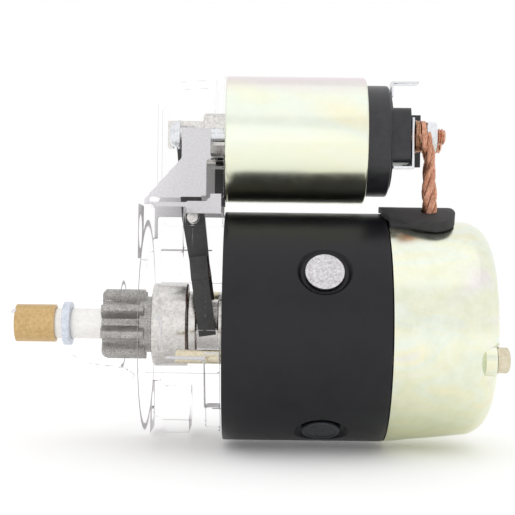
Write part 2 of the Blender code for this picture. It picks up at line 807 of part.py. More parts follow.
def return_spring(finish):
    """Close-wound wire between the plunger's recess and the fixed core."""
    turns, wire, radius = 5, 0.75, 6.6
    steps_per_turn = 8
    start, end = 40.4 + wire, CORE_FRONT - GAP - wire
    steps = turns * steps_per_turn
    curve = bpy.data.curves.new("return_spring", "CURVE")
    curve.dimensions = "3D"
    curve.bevel_depth = wire * MM
    curve.bevel_resolution = 0
    curve.use_fill_caps = True
    spline = curve.splines.new("POLY")
    spline.points.add(steps)
    for i, point in enumerate(spline.points):
        turn = 2 * pi * turns * i / steps
        along = start + (end - start) * i / steps
        point.co = (along * MM, radius * cos(turn) * MM, radius * sin(turn) * MM, 1)
    curve.materials.append(finish)
    obj = bpy.data.objects.new("return_spring", curve)
    obj.location = (0, 0, SOLENOID_Z * MM)
    bpy.context.scene.collection.objects.link(obj)
    return obj


def moving_contact(finish):
    section = (
        (46.65, 0),
        (46.65, 1.5),
        (81.5, 1.5),
        (81.5, 10.0),
        (83.1, 10.0),
        (83.1, 3.0),
        (84.0, 3.0),
        (84.0, 0),
    )
    return add_object("moving_contact", turned(section, z=SOLENOID_Z), finish, (0, 0, SOLENOID_Z))


def terminal_cap(finish):
    """Moulded cap: a flange inside the case, a round base, a raised block and a dividing wall."""
    section = (
        (87.3, 0),
        (87.3, 18.6),
        (74.6, 18.6),
        (74.6, 21.2),
        (78.8, 21.2),
        (78.8, CAP_RADIUS),
        (CAP_REAR - 2.0, CAP_RADIUS),
        (CAP_REAR - 0.6, CAP_RADIUS - 0.6),
        (CAP_REAR, CAP_RADIUS - 2.0),
        (CAP_REAR, 0),
    )
    obj = add_object("terminal_cap", turned(section, z=SOLENOID_Z), finish, (0, 0, SOLENOID_Z))
    raised = rounded_outline(-17.4, 17.4, 60.6, 80.5, 3.0, 3)
    add(obj, prism(raised, "x", CAP_REAR - 1.5, BLOCK_REAR))
    add(obj, block((BLOCK_REAR - 1.0, 99.8), (-1.5, 1.5), (59.4, 78.0)))
    cut(obj, rod((85, MOTOR_STUD_Y, STUD_Z), (98, MOTOR_STUD_Y, STUD_Z), 3.3))
    cut(obj, rod((85, BATTERY_STUD_Y, STUD_Z), (98, BATTERY_STUD_Y, STUD_Z), 4.3))
    return obj


def stud(name, y, radius, end, finish):
    section = (
        (85.4, 0),
        (85.4, 5.8),
        (87.0, 5.8),
        (87.0, radius),
        (end - 0.8, radius),
        (end, radius - 0.8),
        (end, 0),
    )
    return add_object(name, turned(section, SMALL_STEPS, y, STUD_Z), finish)


def nut(name, y, bore, across_flats, start, end, finish):
    obj = add_object(name, hexagon(across_flats, start, end, y, STUD_Z), finish)
    cut(obj, rod((start - 2, y, STUD_Z), (end + 2, y, STUD_Z), bore))
    return obj


def terminals(steel, washer, bare_copper, tin):
    stud("motor_stud", MOTOR_STUD_Y, 3.0, 108.9, bare_copper)
    stud("battery_stud", BATTERY_STUD_Y, 4.0, 111.0, bare_copper)
    nut("motor_stud_nut", MOTOR_STUD_Y, 3.3, 10.6, 102.6, 106.2, steel)
    nut("battery_stud_nut", BATTERY_STUD_Y, 4.3, 13.0, 96.3, 102.3, steel)
    washer_section = ((97.9, 3.3), (97.9, 5.9), (100.2, 5.9), (100.2, 3.3))
    add_object("motor_stud_washer", turned(washer_section, SMALL_STEPS, MOTOR_STUD_Y, STUD_Z), washer)
    lug_section = ((100.5, 3.3), (100.5, 5.8), (102.3, 5.8), (102.3, 3.3))
    lug = add_object("lead_lug", turned(lug_section, SMALL_STEPS, MOTOR_STUD_Y, STUD_Z), bare_copper)
    add(lug, block((100.5, 102.3), (-14.0, -10.0), (64.0, 66.5)))
    coil_strap(tin)
    spade_terminal(tin)


def coil_strap(finish):
    """Strip from the coil's exit in the cap, bent up under the motor stud's washers."""
    strip = ((89.9, 58.4), (97.5, 58.4), (97.5, 77.0), (96.6, 77.0), (96.6, 59.3), (89.9, 59.3))
    obj = add_object("coil_strap", prism(strip, "y", -15.5, -8.5), finish)
    cut(obj, rod((95, MOTOR_STUD_Y, STUD_Z), (99, MOTOR_STUD_Y, STUD_Z), 3.3))
    return obj


def spade_terminal(finish):
    strip = ((89.8, 85.5), (90.6, 85.5), (90.6, 90.5), (100.0, 90.5), (100.0, 91.3), (89.8, 91.3))
    return add_object("spade_terminal", prism(strip, "y", -6.2, 0.1), finish)


def solenoid(zinc, steel, copper, phenolic, rubber, spring):
    solenoid_case(zinc)
    ring("solenoid_coil", copper, (33.0, 66.1), (10.5, 20.5), MEDIUM_STEPS, 0.0, SOLENOID_Z)
    solenoid_core(steel)
    plunger(steel)
    return_spring(spring)
    moving_contact(copper)
    ring("cap_gasket", rubber, (CORE_REAR + GAP, 74.3), (18.6, 21.2), MEDIUM_STEPS, 0.0, SOLENOID_Z)
    terminal_cap(phenolic)


def solenoid_screw(name, y, finish):
    """Pan head with a cross recess, a plain washer and its shank."""
    section = (
        (8.9, 0),
        (8.9, 2.4),
        (9.5, 3.8),
        (10.6, 4.5),
        (11.9, 4.6),
        (11.9, 5.2),
        (12.8, 5.2),
        (12.8, 2.5),
        (32.5, 2.5),
        (32.5, 0),
    )
    obj = add_object(name, turned(section, SMALL_STEPS, y, SOLENOID_Z), finish)
    cut(obj, block((8.0, 10.6), (y - 0.6, y + 0.6), (SOLENOID_Z - 2.6, SOLENOID_Z + 2.6)))
    cut(obj, block((8.0, 10.5), (y - 2.6, y + 2.6), (SOLENOID_Z - 0.6, SOLENOID_Z + 0.6)))
    return obj


# ---------------------------------------------------------------- lead and grommet


def smooth_route(points, spacing):
    """Points along a Catmull-Rom curve through the route's points, spacing millimetres apart."""
    ends = [points[0]] + list(points) + [points[-1]]
    route = [Vector(point) for point in ends]
    fine = []
    for before, start, end, after in zip(route, route[1:], route[2:], route[3:]):
        for i in range(12):
            t = i / 12
            bend = (2 * before - 5 * start + 4 * end - after) * t * t
            twist = (3 * start - before - 3 * end + after) * t * t * t
            fine.append((2 * start + (end - before) * t + bend + twist) / 2)
    fine.append(route[-1])
    kept = [fine[0]]
    for point in fine[1:-1]:
        if (point - kept[-1]).length >= spacing and (point - fine[-1]).length >= spacing / 2:
            kept.append(point)
    return kept + [fine[-1]]


def motor_lead(finish):
    curve = bpy.data.curves.new("motor_lead", "CURVE")
    curve.dimensions = "3D"
    curve.bevel_depth = LEAD_RADIUS * MM
    curve.bevel_resolution = 2
    curve.use_fill_caps = True
    points = smooth_route(LEAD_ROUTE, 3.2)
    spline = curve.splines.new("POLY")
    spline.points.add(len(points) - 1)
    for point, place in zip(spline.points, points):
        point.co = (*(place * MM), 1)
    curve.materials.append(finish)
    obj = bpy.data.objects.new("motor_lead", curve)
    bpy.context.scene.collection.objects.link(obj)
    return obj


def lead_grommet(finish):
    """Rubber flap on the cover, with the neck that fills the slot beneath it."""
    flap = sector((86.0, 112.0), (YOKE_RADIUS + 0.35, 45.2), (53.0, 91.0), 10)
    obj = add_object("lead_grommet", flap, finish)
    add(obj, sector((88.4, 106.0), (36.5, 43.5), (60.7, 79.3), 4))
    cut(obj, rod((103.6, -14.6, 52.0), (102.6, -11.0, 33.0), LEAD_RADIUS + 0.55))
    return obj


def main():
    clear_scene()
    cast = material("cast_aluminium", (0.70, 0.68, 0.70), 0.55, 0.6)
    black = material("yoke_paint", (0.03, 0.03, 0.035), 0.4, 0.0)
    zinc = material("zinc_chromate", (0.80, 0.82, 0.66), 0.3, 0.9)
    steel = material("machined_steel", (0.55, 0.55, 0.55), 0.3, 1.0)
    iron = material("laminations", (0.20, 0.20, 0.21), 0.5, 0.8)
    sintered = material("sintered_steel", (0.30, 0.29, 0.28), 0.45, 0.9)
    plated = material("plated_steel", (0.78, 0.79, 0.82), 0.25, 1.0)
    copper = material("copper", (0.72, 0.36, 0.22), 0.35, 1.0)
    varnish = material("varnished_winding", (0.35, 0.10, 0.05), 0.4, 0.2)
    bronze = material("bush_bronze", (0.60, 0.42, 0.20), 0.4, 1.0)
    phenolic = material("phenolic", (0.035, 0.035, 0.04), 0.45, 0.0)
    nylon = material("lever_nylon", (0.05, 0.05, 0.05), 0.5, 0.0)
    rubber = material("rubber", (0.06, 0.055, 0.055), 0.8, 0.0)
    carbon = material("brush_carbon", (0.08, 0.06, 0.05), 0.6, 0.2)
    spring = material("spring_steel", (0.45, 0.45, 0.46), 0.3, 1.0)

    drive_housing(cast)
    ring("nose_bush", bronze, (-48.7, -34.0), (SHAFT_NOSE_RADIUS + GAP, BUSH_RADIUS))
    ring("rear_bush", bronze, (113.8, 123.9), (5.0 + GAP, 7.5), SMALL_STEPS)
    pivot_x, _, pivot_z = PIVOT
    pin = rod((pivot_x, -10.7, pivot_z), (pivot_x, 10.7, pivot_z), PIN_RADIUS)
    add_object("lever_pin", pin, steel)
    add_object("lever_seal", block((25.0, 28.6), (-7.7, 7.7), (44.6, 58.7)), rubber)
    solenoid_screw("solenoid_screw_near", -17.0, plated)
    solenoid_screw("solenoid_screw_far", 17.0, plated)
    armature(steel, iron, copper)
    clutch_shell(steel)
    drive_sleeve(steel)
    pinion(sintered)
    shift_lever(nylon)
    yoke(black)
    field(iron, varnish, plated)
    rear_cover(zinc)
    brushes(nylon, carbon, spring)
    for number, angle in enumerate(BOLT_ANGLES, 1):
        through_bolt(f"through_bolt_{number}", angle, plated)
    solenoid(zinc, iron, copper, phenolic, rubber, spring)
    terminals(plated, copper, copper, plated)
    motor_lead(copper)
    lead_grommet(rubber)


main()
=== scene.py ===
"""Starter motor: the visible surfaces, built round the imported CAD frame.

Frame: the motor axis is X, the nose points to -X and the solenoid lies above, at +Z. Shapes are
worked out in millimetres and scaled to metres as each piece is made.
"""

import random
from math import atan2, cos, degrees, pi, radians, sin, sqrt

import bmesh
import bpy
from mathutils import Matrix, Vector


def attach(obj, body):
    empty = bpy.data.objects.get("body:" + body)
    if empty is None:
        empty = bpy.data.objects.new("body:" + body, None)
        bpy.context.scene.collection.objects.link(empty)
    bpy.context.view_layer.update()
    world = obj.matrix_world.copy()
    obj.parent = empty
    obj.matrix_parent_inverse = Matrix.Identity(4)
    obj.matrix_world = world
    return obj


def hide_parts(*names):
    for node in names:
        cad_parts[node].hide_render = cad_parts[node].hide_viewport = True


MM = 0.001
TURN_STEPS = 160
CAST_VOXEL = 0.45
CAST_TRIANGLES = 186000
GAP = 0.3

YOKE_RADIUS = 42.4
YOKE_BORE = 38.3
YOKE_FRONT = 28.9
YOKE_REAR = 87.7
SOLENOID_Z = 69.5
SOLENOID_RADIUS = 23.6
SOLENOID_FRONT = 28.9
SOLENOID_REAR = 80.4
HOUSING_REAR = 28.6
BOLT_ANGLES = (-15.0, 165.0)
BOLT_CIRCLE = 35.4
BOLT_SEAT = 123.9
POLE_ANGLES = (30.0, 120.0, 210.0, 300.0)
POLE_SCREW_X = 64.4
STUD_Z = 70.3
MOTOR_STUD_Y = -12.0
BATTERY_STUD_Y = 12.0
SCREW_Y = 17.0

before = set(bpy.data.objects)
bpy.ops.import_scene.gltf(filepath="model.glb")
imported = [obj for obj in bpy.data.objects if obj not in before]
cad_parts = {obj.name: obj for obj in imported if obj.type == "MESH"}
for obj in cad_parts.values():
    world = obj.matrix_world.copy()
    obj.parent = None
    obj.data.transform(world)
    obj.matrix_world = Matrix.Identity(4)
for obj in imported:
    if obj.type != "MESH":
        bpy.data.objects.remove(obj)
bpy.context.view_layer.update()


# ---------------------------------------------------------------- shapes, in millimetres


def angle_point(angle, radius, x):
    """A point at an angle in degrees round the motor axis, counted from -Y towards +Z."""
    turn = radians(angle)
    return Vector((x, -radius * cos(turn), radius * sin(turn)))


def outward(bm):
    bmesh.ops.recalc_face_normals(bm, faces=bm.faces)
    return bm


def fillet(section, default=0.3, segments=3):
    """Round every inner corner of a polyline; a point may carry its own radius as a third value."""
    points = [Vector(point[:2]) for point in section]
    sizes = [point[2] if len(point) > 2 else default for point in section]
    made = [points[0]]
    for before, here, after, size in zip(points, points[1:], points[2:], sizes[1:]):
        back, ahead = before - here, after - here
        room = min(back.length, ahead.length) * 0.45
        opening = back.angle(ahead, pi)
        if size <= 0 or opening > radians(172) or room < 1e-6:
            made.append(here)
            continue
        reach = min(room, size / max(0.05, abs(sin(opening / 2) / cos(opening / 2))))
        start = here + back.normalized() * reach
        end = here + ahead.normalized() * reach
        for i in range(segments + 1):
            t = i / segments
            made.append(start * (1 - t) ** 2 + here * 2 * t * (1 - t) + end * t * t)
    made.append(points[-1])
    return [(point.x, point.y) for point in made]


def turned(section, steps=None, y=0.0, z=0.0):
    """Solid of revolution about a line along X; the section is a list of (x, radius)."""
    steps = steps or TURN_STEPS
    bm = bmesh.new()
    rings = []
    for x, radius in section:
        if radius < 1e-6:
            rings.append([bm.verts.new((x, 0, 0))])
            continue
        turns = [2 * pi * i / steps for i in range(steps)]
        rings.append([bm.verts.new((x, -radius * cos(t), radius * sin(t))) for t in turns])
    pairs = list(zip(rings, rings[1:]))
    if section[0][1] > 1e-6:
        pairs.append((rings[-1], rings[0]))
    for one, two in pairs:
        for i in range(steps):
            k = (i + 1) % steps
            if len(one) == 1 and len(two) == 1:
                continue
            if len(one) == 1:
                bm.faces.new((one[0], two[i], two[k]))
            elif len(two) == 1:
                bm.faces.new((one[i], one[k], two[0]))
            else:
                bm.faces.new((one[i], one[k], two[k], two[i]))
    bmesh.ops.translate(bm, vec=(0, y, z), verts=bm.verts)
    return outward(bm)


def prism(outline, axis, start, end):
    """Outline extruded along X, Y or Z; its points are given in the other two axes' order."""
    bm = bmesh.new()
    place = {
        "x": lambda a, b: (start, a, b),
        "y": lambda a, b: (a, start, b),
        "z": lambda a, b: (a, b, start),
    }[axis]
    face = bm.faces.new([bm.verts.new(place(a, b)) for a, b in outline])
    made = bmesh.ops.extrude_face_region(bm, geom=[face])["geom"]
    along = {"x": (1, 0, 0), "y": (0, 1, 0), "z": (0, 0, 1)}[axis]
    moved = [item for item in made if isinstance(item, bmesh.types.BMVert)]
    bmesh.ops.translate(bm, vec=Vector(along) * (end - start), verts=moved)
    return outward(bm)


def rounded_outline(low_a, high_a, low_b, high_b, radius, segments=6):
    """Points of a rectangle with round corners."""
    points = []
    corners = ((high_a, high_b, 0), (low_a, high_b, 90), (low_a, low_b, 180), (high_a, low_b, 270))
    for a, b, start in corners:
        centre_a = a - radius if a == high_a else a + radius
        centre_b = b - radius if b == high_b else b + radius
        for i in range(segments + 1):
            turn = radians(start + 90 * i / segments)
            points.append((centre_a + radius * cos(turn), centre_b + radius * sin(turn)))
    return points


def block(x, y, z):
    """A box from three (low, high) pairs."""
    outline = ((x[0], y[0]), (x[1], y[0]), (x[1], y[1]), (x[0], y[1]))
    return prism(outline, "z", z[0], z[1])


def along(bm, start, direction):
    """The mesh, made along +Z from the origin, moved to start and aimed in a direction."""
    turn = Vector((0, 0, 1)).rotation_difference(Vector(direction))
    place = Matrix.Translation(Vector(start)) @ turn.to_matrix().to_4x4()
    bmesh.ops.transform(bm, matrix=place, verts=bm.verts)
    return bm


def rod(start, end, radius, steps=48, radius_end=None):
    """A cylinder or cone between two points."""
    start = Vector(start)
    length = (Vector(end) - start).length
    bm = bmesh.new()
    bmesh.ops.create_cone(
        bm,
        cap_ends=True,
        segments=steps,
        radius1=radius,
        radius2=radius if radius_end is None else radius_end,
        depth=length,
    )
    bmesh.ops.translate(bm, vec=(0, 0, length / 2), verts=bm.verts)
    return outward(along(bm, start, Vector(end) - start))


def sector(x, radii, angles, steps=24):
    """A block bounded by two radii and two angles round the motor axis."""
    turns = [angles[0] + (angles[1] - angles[0]) * i / steps for i in range(steps + 1)]
    inner = [angle_point(turn, radii[0], 0).yz for turn in turns]
    outer = [angle_point(turn, radii[1], 0).yz for turn in reversed(turns)]
    return prism([tuple(point) for point in inner + outer], "x", x[0], x[1])


def smooth_route(points, spacing):
    """Evenly spaced points along a Catmull-Rom curve through the route's points."""
    ends = [points[0]] + list(points) + [points[-1]]
    route = [Vector(point) for point in ends]
    fine = []
    for before, start, end, after in zip(route, route[1:], route[2:], route[3:]):
        for i in range(40):
            t = i / 40
            bend = (2 * before - 5 * start + 4 * end - after) * t * t
            twist = (3 * start - before - 3 * end + after) * t * t * t
            fine.append((2 * start + (end - before) * t + bend + twist) / 2)
    fine.append(route[-1])
    kept = [fine[0]]
    for point in fine[1:-1]:
        if (point - kept[-1]).length >= spacing:
            kept.append(point)
    return kept + [fine[-1]]


def tube(path, radii, sides=12, squash=None):
    """A closed tube along a path of points, with a radius for each point."""
    bm = bmesh.new()
    across = None
    rings = []
    for i, point in enumerate(path):
        ahead = path[min(i + 1, len(path) - 1)] - path[max(i - 1, 0)]
        ahead.normalize()
        if across is None:
            across = ahead.orthogonal().normalized()
        across = (across - ahead * across.dot(ahead)).normalized()
        side = ahead.cross(across)
        radius = radii[i] if hasattr(radii, "__len__") else radii
        ring = []
        for k in range(sides):
            turn = 2 * pi * k / sides
            ring.append(bm.verts.new(point + (across * cos(turn) + side * sin(turn)) * radius))
        rings.append(ring)
    for one, two in zip(rings, rings[1:]):
        for k in range(sides):
            bm.faces.new((one[k], one[(k + 1) % sides], two[(k + 1) % sides], two[k]))
    bm.faces.new(rings[0])
    bm.faces.new(rings[-1])
    return outward(bm)


def hexagon_outline(across_flats, y, z, turn=0.0):
    radius = across_flats / sqrt(3)
    corners = [radians(turn + 60 * i) for i in range(6)]
    return [(y + radius * cos(corner), z + radius * sin(corner)) for corner in corners]


def threaded(start, end, radius, pitch, depth, y, z, steps=48):
    """A screw thread along X with a chamfered end."""
    bm = bmesh.new()
    rows = int((end - start) / pitch * 8)
    rings = []
    for row in range(rows + 1):
        x = start + (end - start) * row / rows
        taper = max(0.0, 1.0 - (end - x) / 0.8) * 0.7
        ring = []
        for i in range(steps):
            turn = 2 * pi * i / steps
            phase = (x / pitch - turn / (2 * pi)) % 1.0
            height = 1 - abs(2 * phase - 1)
            reach = radius - depth + depth * min(1.0, height * 1.25) - taper
            ring.append(bm.verts.new((x, y - reach * cos(turn), z + reach * sin(turn))))
        rings.append(ring)
    for one, two in zip(rings, rings[1:]):
        for i in range(steps):
            k = (i + 1) % steps
            bm.faces.new((one[i], one[k], two[k], two[i]))
    bm.faces.new(rings[0])
    bm.faces.new(rings[-1])
    return outward(bm)


def joined(*shapes):
    """Several meshes in one, without joining their faces."""
    bm = shapes[0]
    for shape in shapes[1:]:
        mesh = bpy.data.meshes.new("part")
        shape.to_mesh(mesh)
        bm.from_mesh(mesh)
        bpy.data.meshes.remove(mesh)
        shape.free()
    return bm


# ---------------------------------------------------------------- solids


def temporary(bm):
    mesh = bpy.data.meshes.new("work")
    bm.to_mesh(mesh)
    bm.free()
    obj = bpy.data.objects.new("work", mesh)
    bpy.context.scene.collection.objects.link(obj)
    return obj


def applied(obj):
    """The object's mesh with its modifiers, as a new mesh."""
    bpy.context.view_layer.update()
    evaluated = obj.evaluated_get(bpy.context.evaluated_depsgraph_get())
    return bpy.data.meshes.new_from_object(evaluated)


def discard(*objects):
    for obj in objects:
        mesh = obj.data
        bpy.data.objects.remove(obj, do_unlink=True)
        if mesh.users == 0:
            bpy.data.meshes.remove(mesh)


def combined(body, steps):
    """The body after a list of (operation, mesh) Booleans, as a bmesh."""
    obj = temporary(body)
    tools = []
    for operation, shape in steps:
        tool = temporary(shape)
        tools.append(tool)
        modifier = obj.modifiers.new("step", "BOOLEAN")
        modifier.operation = operation
        modifier.solver = "EXACT"
        modifier.object = tool
    mesh = applied(obj)
    discard(obj, *tools)
    made = bmesh.new()
    made.from_mesh(mesh)
    bpy.data.meshes.remove(mesh)
    return made


def common(one, two):
    return combined(one, [("INTERSECT", two)])


def modified(bm, *settings):
    """The mesh after modifiers given as (type, {setting: value})."""
    obj = temporary(bm)
    for kind, values in settings:
        modifier = obj.modifiers.new("step", kind)
        for name, value in values.items():
            setattr(modifier, name, value)
    mesh = applied(obj)
    discard(obj)
    made = bmesh.new()
    made.from_mesh(mesh)
    bpy.data.meshes.remove(mesh)
    return made


def softened(bm, width=0.3, segments=2, angle=30):
    """Edges sharper than the angle get a small round."""
    values = {
        "width": width,
        "segments": segments,
        "limit_method": "ANGLE",
        "angle_limit": radians(angle),
        "use_clamp_overlap": True,
    }
    return modified(bm, ("BEVEL", values))


def piece(name, bm, body, look, replaced=(), sharp=35):
    """A finished piece: in metres, smooth, riding on its body and standing for its CAD nodes."""
    bmesh.ops.scale(bm, vec=(MM, MM, MM), verts=bm.verts)
    mesh = bpy.data.meshes.new(name)
    bm.to_mesh(mesh)
    bm.free()
    mesh.materials.append(look)
    mesh.shade_smooth()
    if sharp:
        mesh.set_sharp_from_angle(angle=radians(sharp))
    obj = bpy.data.objects.new(name, mesh)
    bpy.context.scene.collection.objects.link(obj)
    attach(obj, body)
    if replaced:
        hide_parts(*replaced)
    return obj


# ---------------------------------------------------------------- materials


class Look:
    """A Principled material and short ways to add nodes to it."""

    def __init__(self, name, **values):
        self.material = bpy.data.materials.new(name)
        self.material.use_nodes = True
        self.nodes = self.material.node_tree.nodes
        self.links = self.material.node_tree.links
        self.shader = self.nodes["Principled BSDF"]
        self.coordinates = self.nodes.new("ShaderNodeTexCoord")
        for socket, value in values.items():
            self.shader.inputs[socket.replace("_", " ")].default_value = value

    def link(self, source, target):
        self.links.new(source, target)

    def noise(self, size, detail=4.0, rough=0.55, stretch=(1, 1, 1), distortion=0.0, shift=(0, 0, 0)):
        """Noise whose features are about size millimetres wide."""
        mapping = self.nodes.new("ShaderNodeMapping")
        mapping.inputs["Scale"].default_value = stretch
        mapping.inputs["Location"].default_value = shift
        self.link(self.coordinates.outputs["Object"], mapping.inputs["Vector"])
        noise = self.nodes.new("ShaderNodeTexNoise")
        noise.inputs["Scale"].default_value = 1.0 / (size * MM)
        noise.inputs["Detail"].default_value = detail
        noise.inputs["Roughness"].default_value = rough
        noise.inputs["Distortion"].default_value = distortion
        self.link(mapping.outputs["Vector"], noise.inputs["Vector"])
        return noise.outputs["Fac"]

    def ramp(self, source, *stops):
        """Colour ramp with stops (position, colour)."""
        ramp = self.nodes.new("ShaderNodeValToRGB")
        elements = ramp.color_ramp.elements
        while len(elements) < len(stops):
            elements.new(0.5)
        for element, (position, colour) in zip(elements, stops):
            element.position = position
            element.color = (*colour, 1.0)
        self.link(source, ramp.inputs["Fac"])
        return ramp.outputs["Color"]

    def ranged(self, source, low, high, start=0.3, end=0.7):
        node = self.nodes.new("ShaderNodeMapRange")
        node.inputs["From Min"].default_value = start
        node.inputs["From Max"].default_value = end
        node.inputs["To Min"].default_value = low
        node.inputs["To Max"].default_value = high
        self.link(source, node.inputs["Value"])
        return node.outputs["Result"]

    def mixed(self, factor, one, two, blend="MIX"):
        node = self.nodes.new("ShaderNodeMix")
        node.data_type = "RGBA"
        node.blend_type = blend
        colours = [socket for socket in node.inputs if socket.type == "RGBA"]
        result = [socket for socket in node.outputs if socket.type == "RGBA"][0]
        amount = [socket for socket in node.inputs if socket.name == "Factor"][0]
        for socket, value in ((amount, factor), (colours[0], one), (colours[1], two)):
            if isinstance(value, bpy.types.NodeSocket):
                self.link(value, socket)
            elif isinstance(value, (int, float)):
                socket.default_value = value
            else:
                socket.default_value = (*value, 1.0)
        return result

    def math(self, operation, one, two=0.0):
        node = self.nodes.new("ShaderNodeMath")
        node.operation = operation
        for socket, value in zip(node.inputs, (one, two)):
            if isinstance(value, bpy.types.NodeSocket):
                self.link(value, socket)
            else:
                socket.default_value = value
        return node.outputs[0]

    def along(self, axis):
        """Object coordinate along an axis, in metres."""
        split = self.nodes.new("ShaderNodeSeparateXYZ")
        self.link(self.coordinates.outputs["Object"], split.inputs["Vector"])
        return split.outputs[axis]

    def colour(self, source):
        self.link(source, self.shader.inputs["Base Color"])

    def roughness(self, source):
        self.link(source, self.shader.inputs["Roughness"])

    def bump(self, *layers):
        """Bump layers given as (height, strength, depth in millimetres)."""
        last = None
        for height, strength, depth in layers:
            node = self.nodes.new("ShaderNodeBump")
            node.inputs["Strength"].default_value = strength
            node.inputs["Distance"].default_value = depth * MM
            self.link(height, node.inputs["Height"])
            if last is not None:
                self.link(last, node.inputs["Normal"])
            last = node.outputs["Normal"]
        self.link(last, self.shader.inputs["Normal"])
        return self.material


def cast_aluminium():
    look = Look("cast_aluminium_look", Metallic=0.55)
    grain = look.noise(0.75, 5.0, 0.7)
    patches = look.noise(14.0, 3.0, 0.5)
    low, middle, high = (0.60, 0.59, 0.605), (0.69, 0.68, 0.695), (0.78, 0.78, 0.785)
    fine = look.ramp(grain, (0.30, low), (0.55, middle), (0.8, high))
    tone = look.ramp(patches, (0.3, (0.94, 0.93, 0.945)), (0.7, (1.0, 1.0, 0.995)))
    outside = look.mixed(1.0, fine, tone, "MULTIPLY")
    # Painted light: ahead of x = -4 mm the nose is made up to 1.22 times brighter, fading out by x = 15 mm, standing
    # in for the light that falls more on the nose.
    nose_painted_light = look.ranged(look.along("X"), 1.0, 0.0, -4.0 * MM, 15.0 * MM)
    nose_painted_light = look.ramp(nose_painted_light, (0.0, (1.0, 1.0, 1.0)), (1.0, (1.22, 1.22, 1.22)))
    outside = look.mixed(1.0, outside, nose_painted_light, "MULTIPLY")
    # Painted shade: inside the nose's bore (radius under 15 mm, from x = -31 mm rearwards) the aluminium turns dark
    # slate blue, standing in for the shade inside it.
    square = look.math("MULTIPLY", look.along("Y"), look.along("Y"))
    square = look.math("ADD", square, look.math("MULTIPLY", look.along("Z"), look.along("Z")))
    bore = look.ranged(look.math("SQRT", square), 1.0, 0.0, 14.9 * MM, 15.5 * MM)
    bore = look.math("MULTIPLY", bore, look.ranged(look.along("X"), 0.0, 1.0, -33.0 * MM, -31.0 * MM))
    look.colour(look.mixed(bore, outside, (0.42, 0.46, 0.53)))
    look.roughness(look.ranged(patches, 0.50, 0.62))
    return look.bump((grain, 0.35, 0.10), (patches, 0.15, 0.4))


def yoke_paint():
    look = Look("yoke_paint_look", Metallic=0.0, Specular_IOR_Level=0.34)
    peel = look.noise(1.6, 3.0, 0.5)
    dust = look.noise(9.0, 5.0, 0.65)
    look.colour(look.ramp(dust, (0.3, (0.0045, 0.0045, 0.0065)), (0.7, (0.0085, 0.0085, 0.0115))))
    look.roughness(look.ranged(dust, 0.30, 0.38))
    return look.bump((peel, 0.08, 0.05))


def zinc(name, mottle, patch, low, high):
    """Zinc with a yellow chromate film: pale, pink where it is thin on top, yellower below."""
    look = Look(name, Metallic=1.0)
    drift = look.noise(patch, 2.0, 0.5, (0.45, 1, 1), 0.6)
    film = look.ramp(
        drift,
        (0.25, (0.84, 0.78, 0.80)),
        (0.36, (0.87, 0.87, 0.78)),
        (0.46, (0.86, 0.87, 0.69)),
        (0.55, (0.82, 0.87, 0.77)),
        (0.66, (0.88, 0.86, 0.66)),
        (0.78, (0.82, 0.82, 0.86)),
    )
    height = look.math("ADD", look.along("Z"), look.math("MULTIPLY", drift, 0.012))
    yellow = look.ranged(height, 0.55, 0.0, low * MM, (low + 45) * MM)
    film = look.mixed(yellow, film, (0.78, 0.78, 0.50))
    pink = look.ranged(height, 0.0, 0.85, (high - 7) * MM, high * MM)
    film = look.mixed(pink, film, (0.80, 0.69, 0.74))
    blots = look.noise(5.0, 6.0, 0.65)
    haze = look.ramp(blots, (0.35, (0.93, 0.93, 0.88)), (0.6, (1.0, 1.0, 1.0)))
    look.colour(look.mixed(mottle, film, haze, "MULTIPLY"))
    look.roughness(look.ranged(blots, 0.17, 0.27))
    return look.bump((blots, 0.04, 0.04))


def brushed(name, dark, light, roughness, metallic=1.0, size=1.2, stretch=(1, 1, 1)):
    """Plain metal with faint variation."""
    look = Look(name, Metallic=metallic)
    grain = look.noise(size, 4.0, 0.6, stretch)
    look.colour(look.ramp(grain, (0.3, dark), (0.7, light)))
    look.roughness(look.ranged(grain, roughness * 0.8, roughness * 1.2))
    return look.bump((grain, 0.08, 0.03))


def sintered():
    look = Look("sintered_look", Metallic=0.85)
    pores = look.noise(0.45, 5.0, 0.75)
    broad = look.noise(4.0, 3.0, 0.6)
    base = look.ramp(pores, (0.36, (0.18, 0.175, 0.175)), (0.5, (0.52, 0.51, 0.50)), (0.7, (0.70, 0.69, 0.68)))
    tone = look.ramp(broad, (0.3, (0.72, 0.70, 0.68)), (0.7, (1.0, 0.99, 0.97)))
    look.colour(look.mixed(1.0, base, tone, "MULTIPLY"))
    look.roughness(look.ranged(broad, 0.36, 0.5))
    return look.bump((pores, 0.45, 0.08))


def copper_look(name, stretch=(1, 1, 1)):
    look = Look(name, Metallic=1.0)
    wires = look.noise(0.5, 3.0, 0.6, stretch)
    tarnish = look.noise(3.5, 3.0, 0.6)
    bright = look.ramp(wires, (0.3, (0.55, 0.26, 0.17)), (0.65, (0.90, 0.55, 0.40)))
    tone = look.ramp(tarnish, (0.3, (0.72, 0.62, 0.56)), (0.7, (1.0, 1.0, 1.0)))
    look.colour(look.mixed(1.0, bright, tone, "MULTIPLY"))
    look.roughness(look.ranged(tarnish, 0.26, 0.42))
    return look.bump((wires, 0.4, 0.08))


def moulding(name, dark, light, roughness, size=2.5):
    """Moulded plastic or rubber."""
    look = Look(name, Metallic=0.0)
    grain = look.noise(size, 5.0, 0.6)
    fine = look.noise(0.5, 3.0, 0.7)
    look.colour(look.ramp(grain, (0.3, dark), (0.7, light)))
    look.roughness(look.ranged(grain, roughness * 0.85, roughness * 1.15))
    return look.bump((fine, 0.2, 0.05))


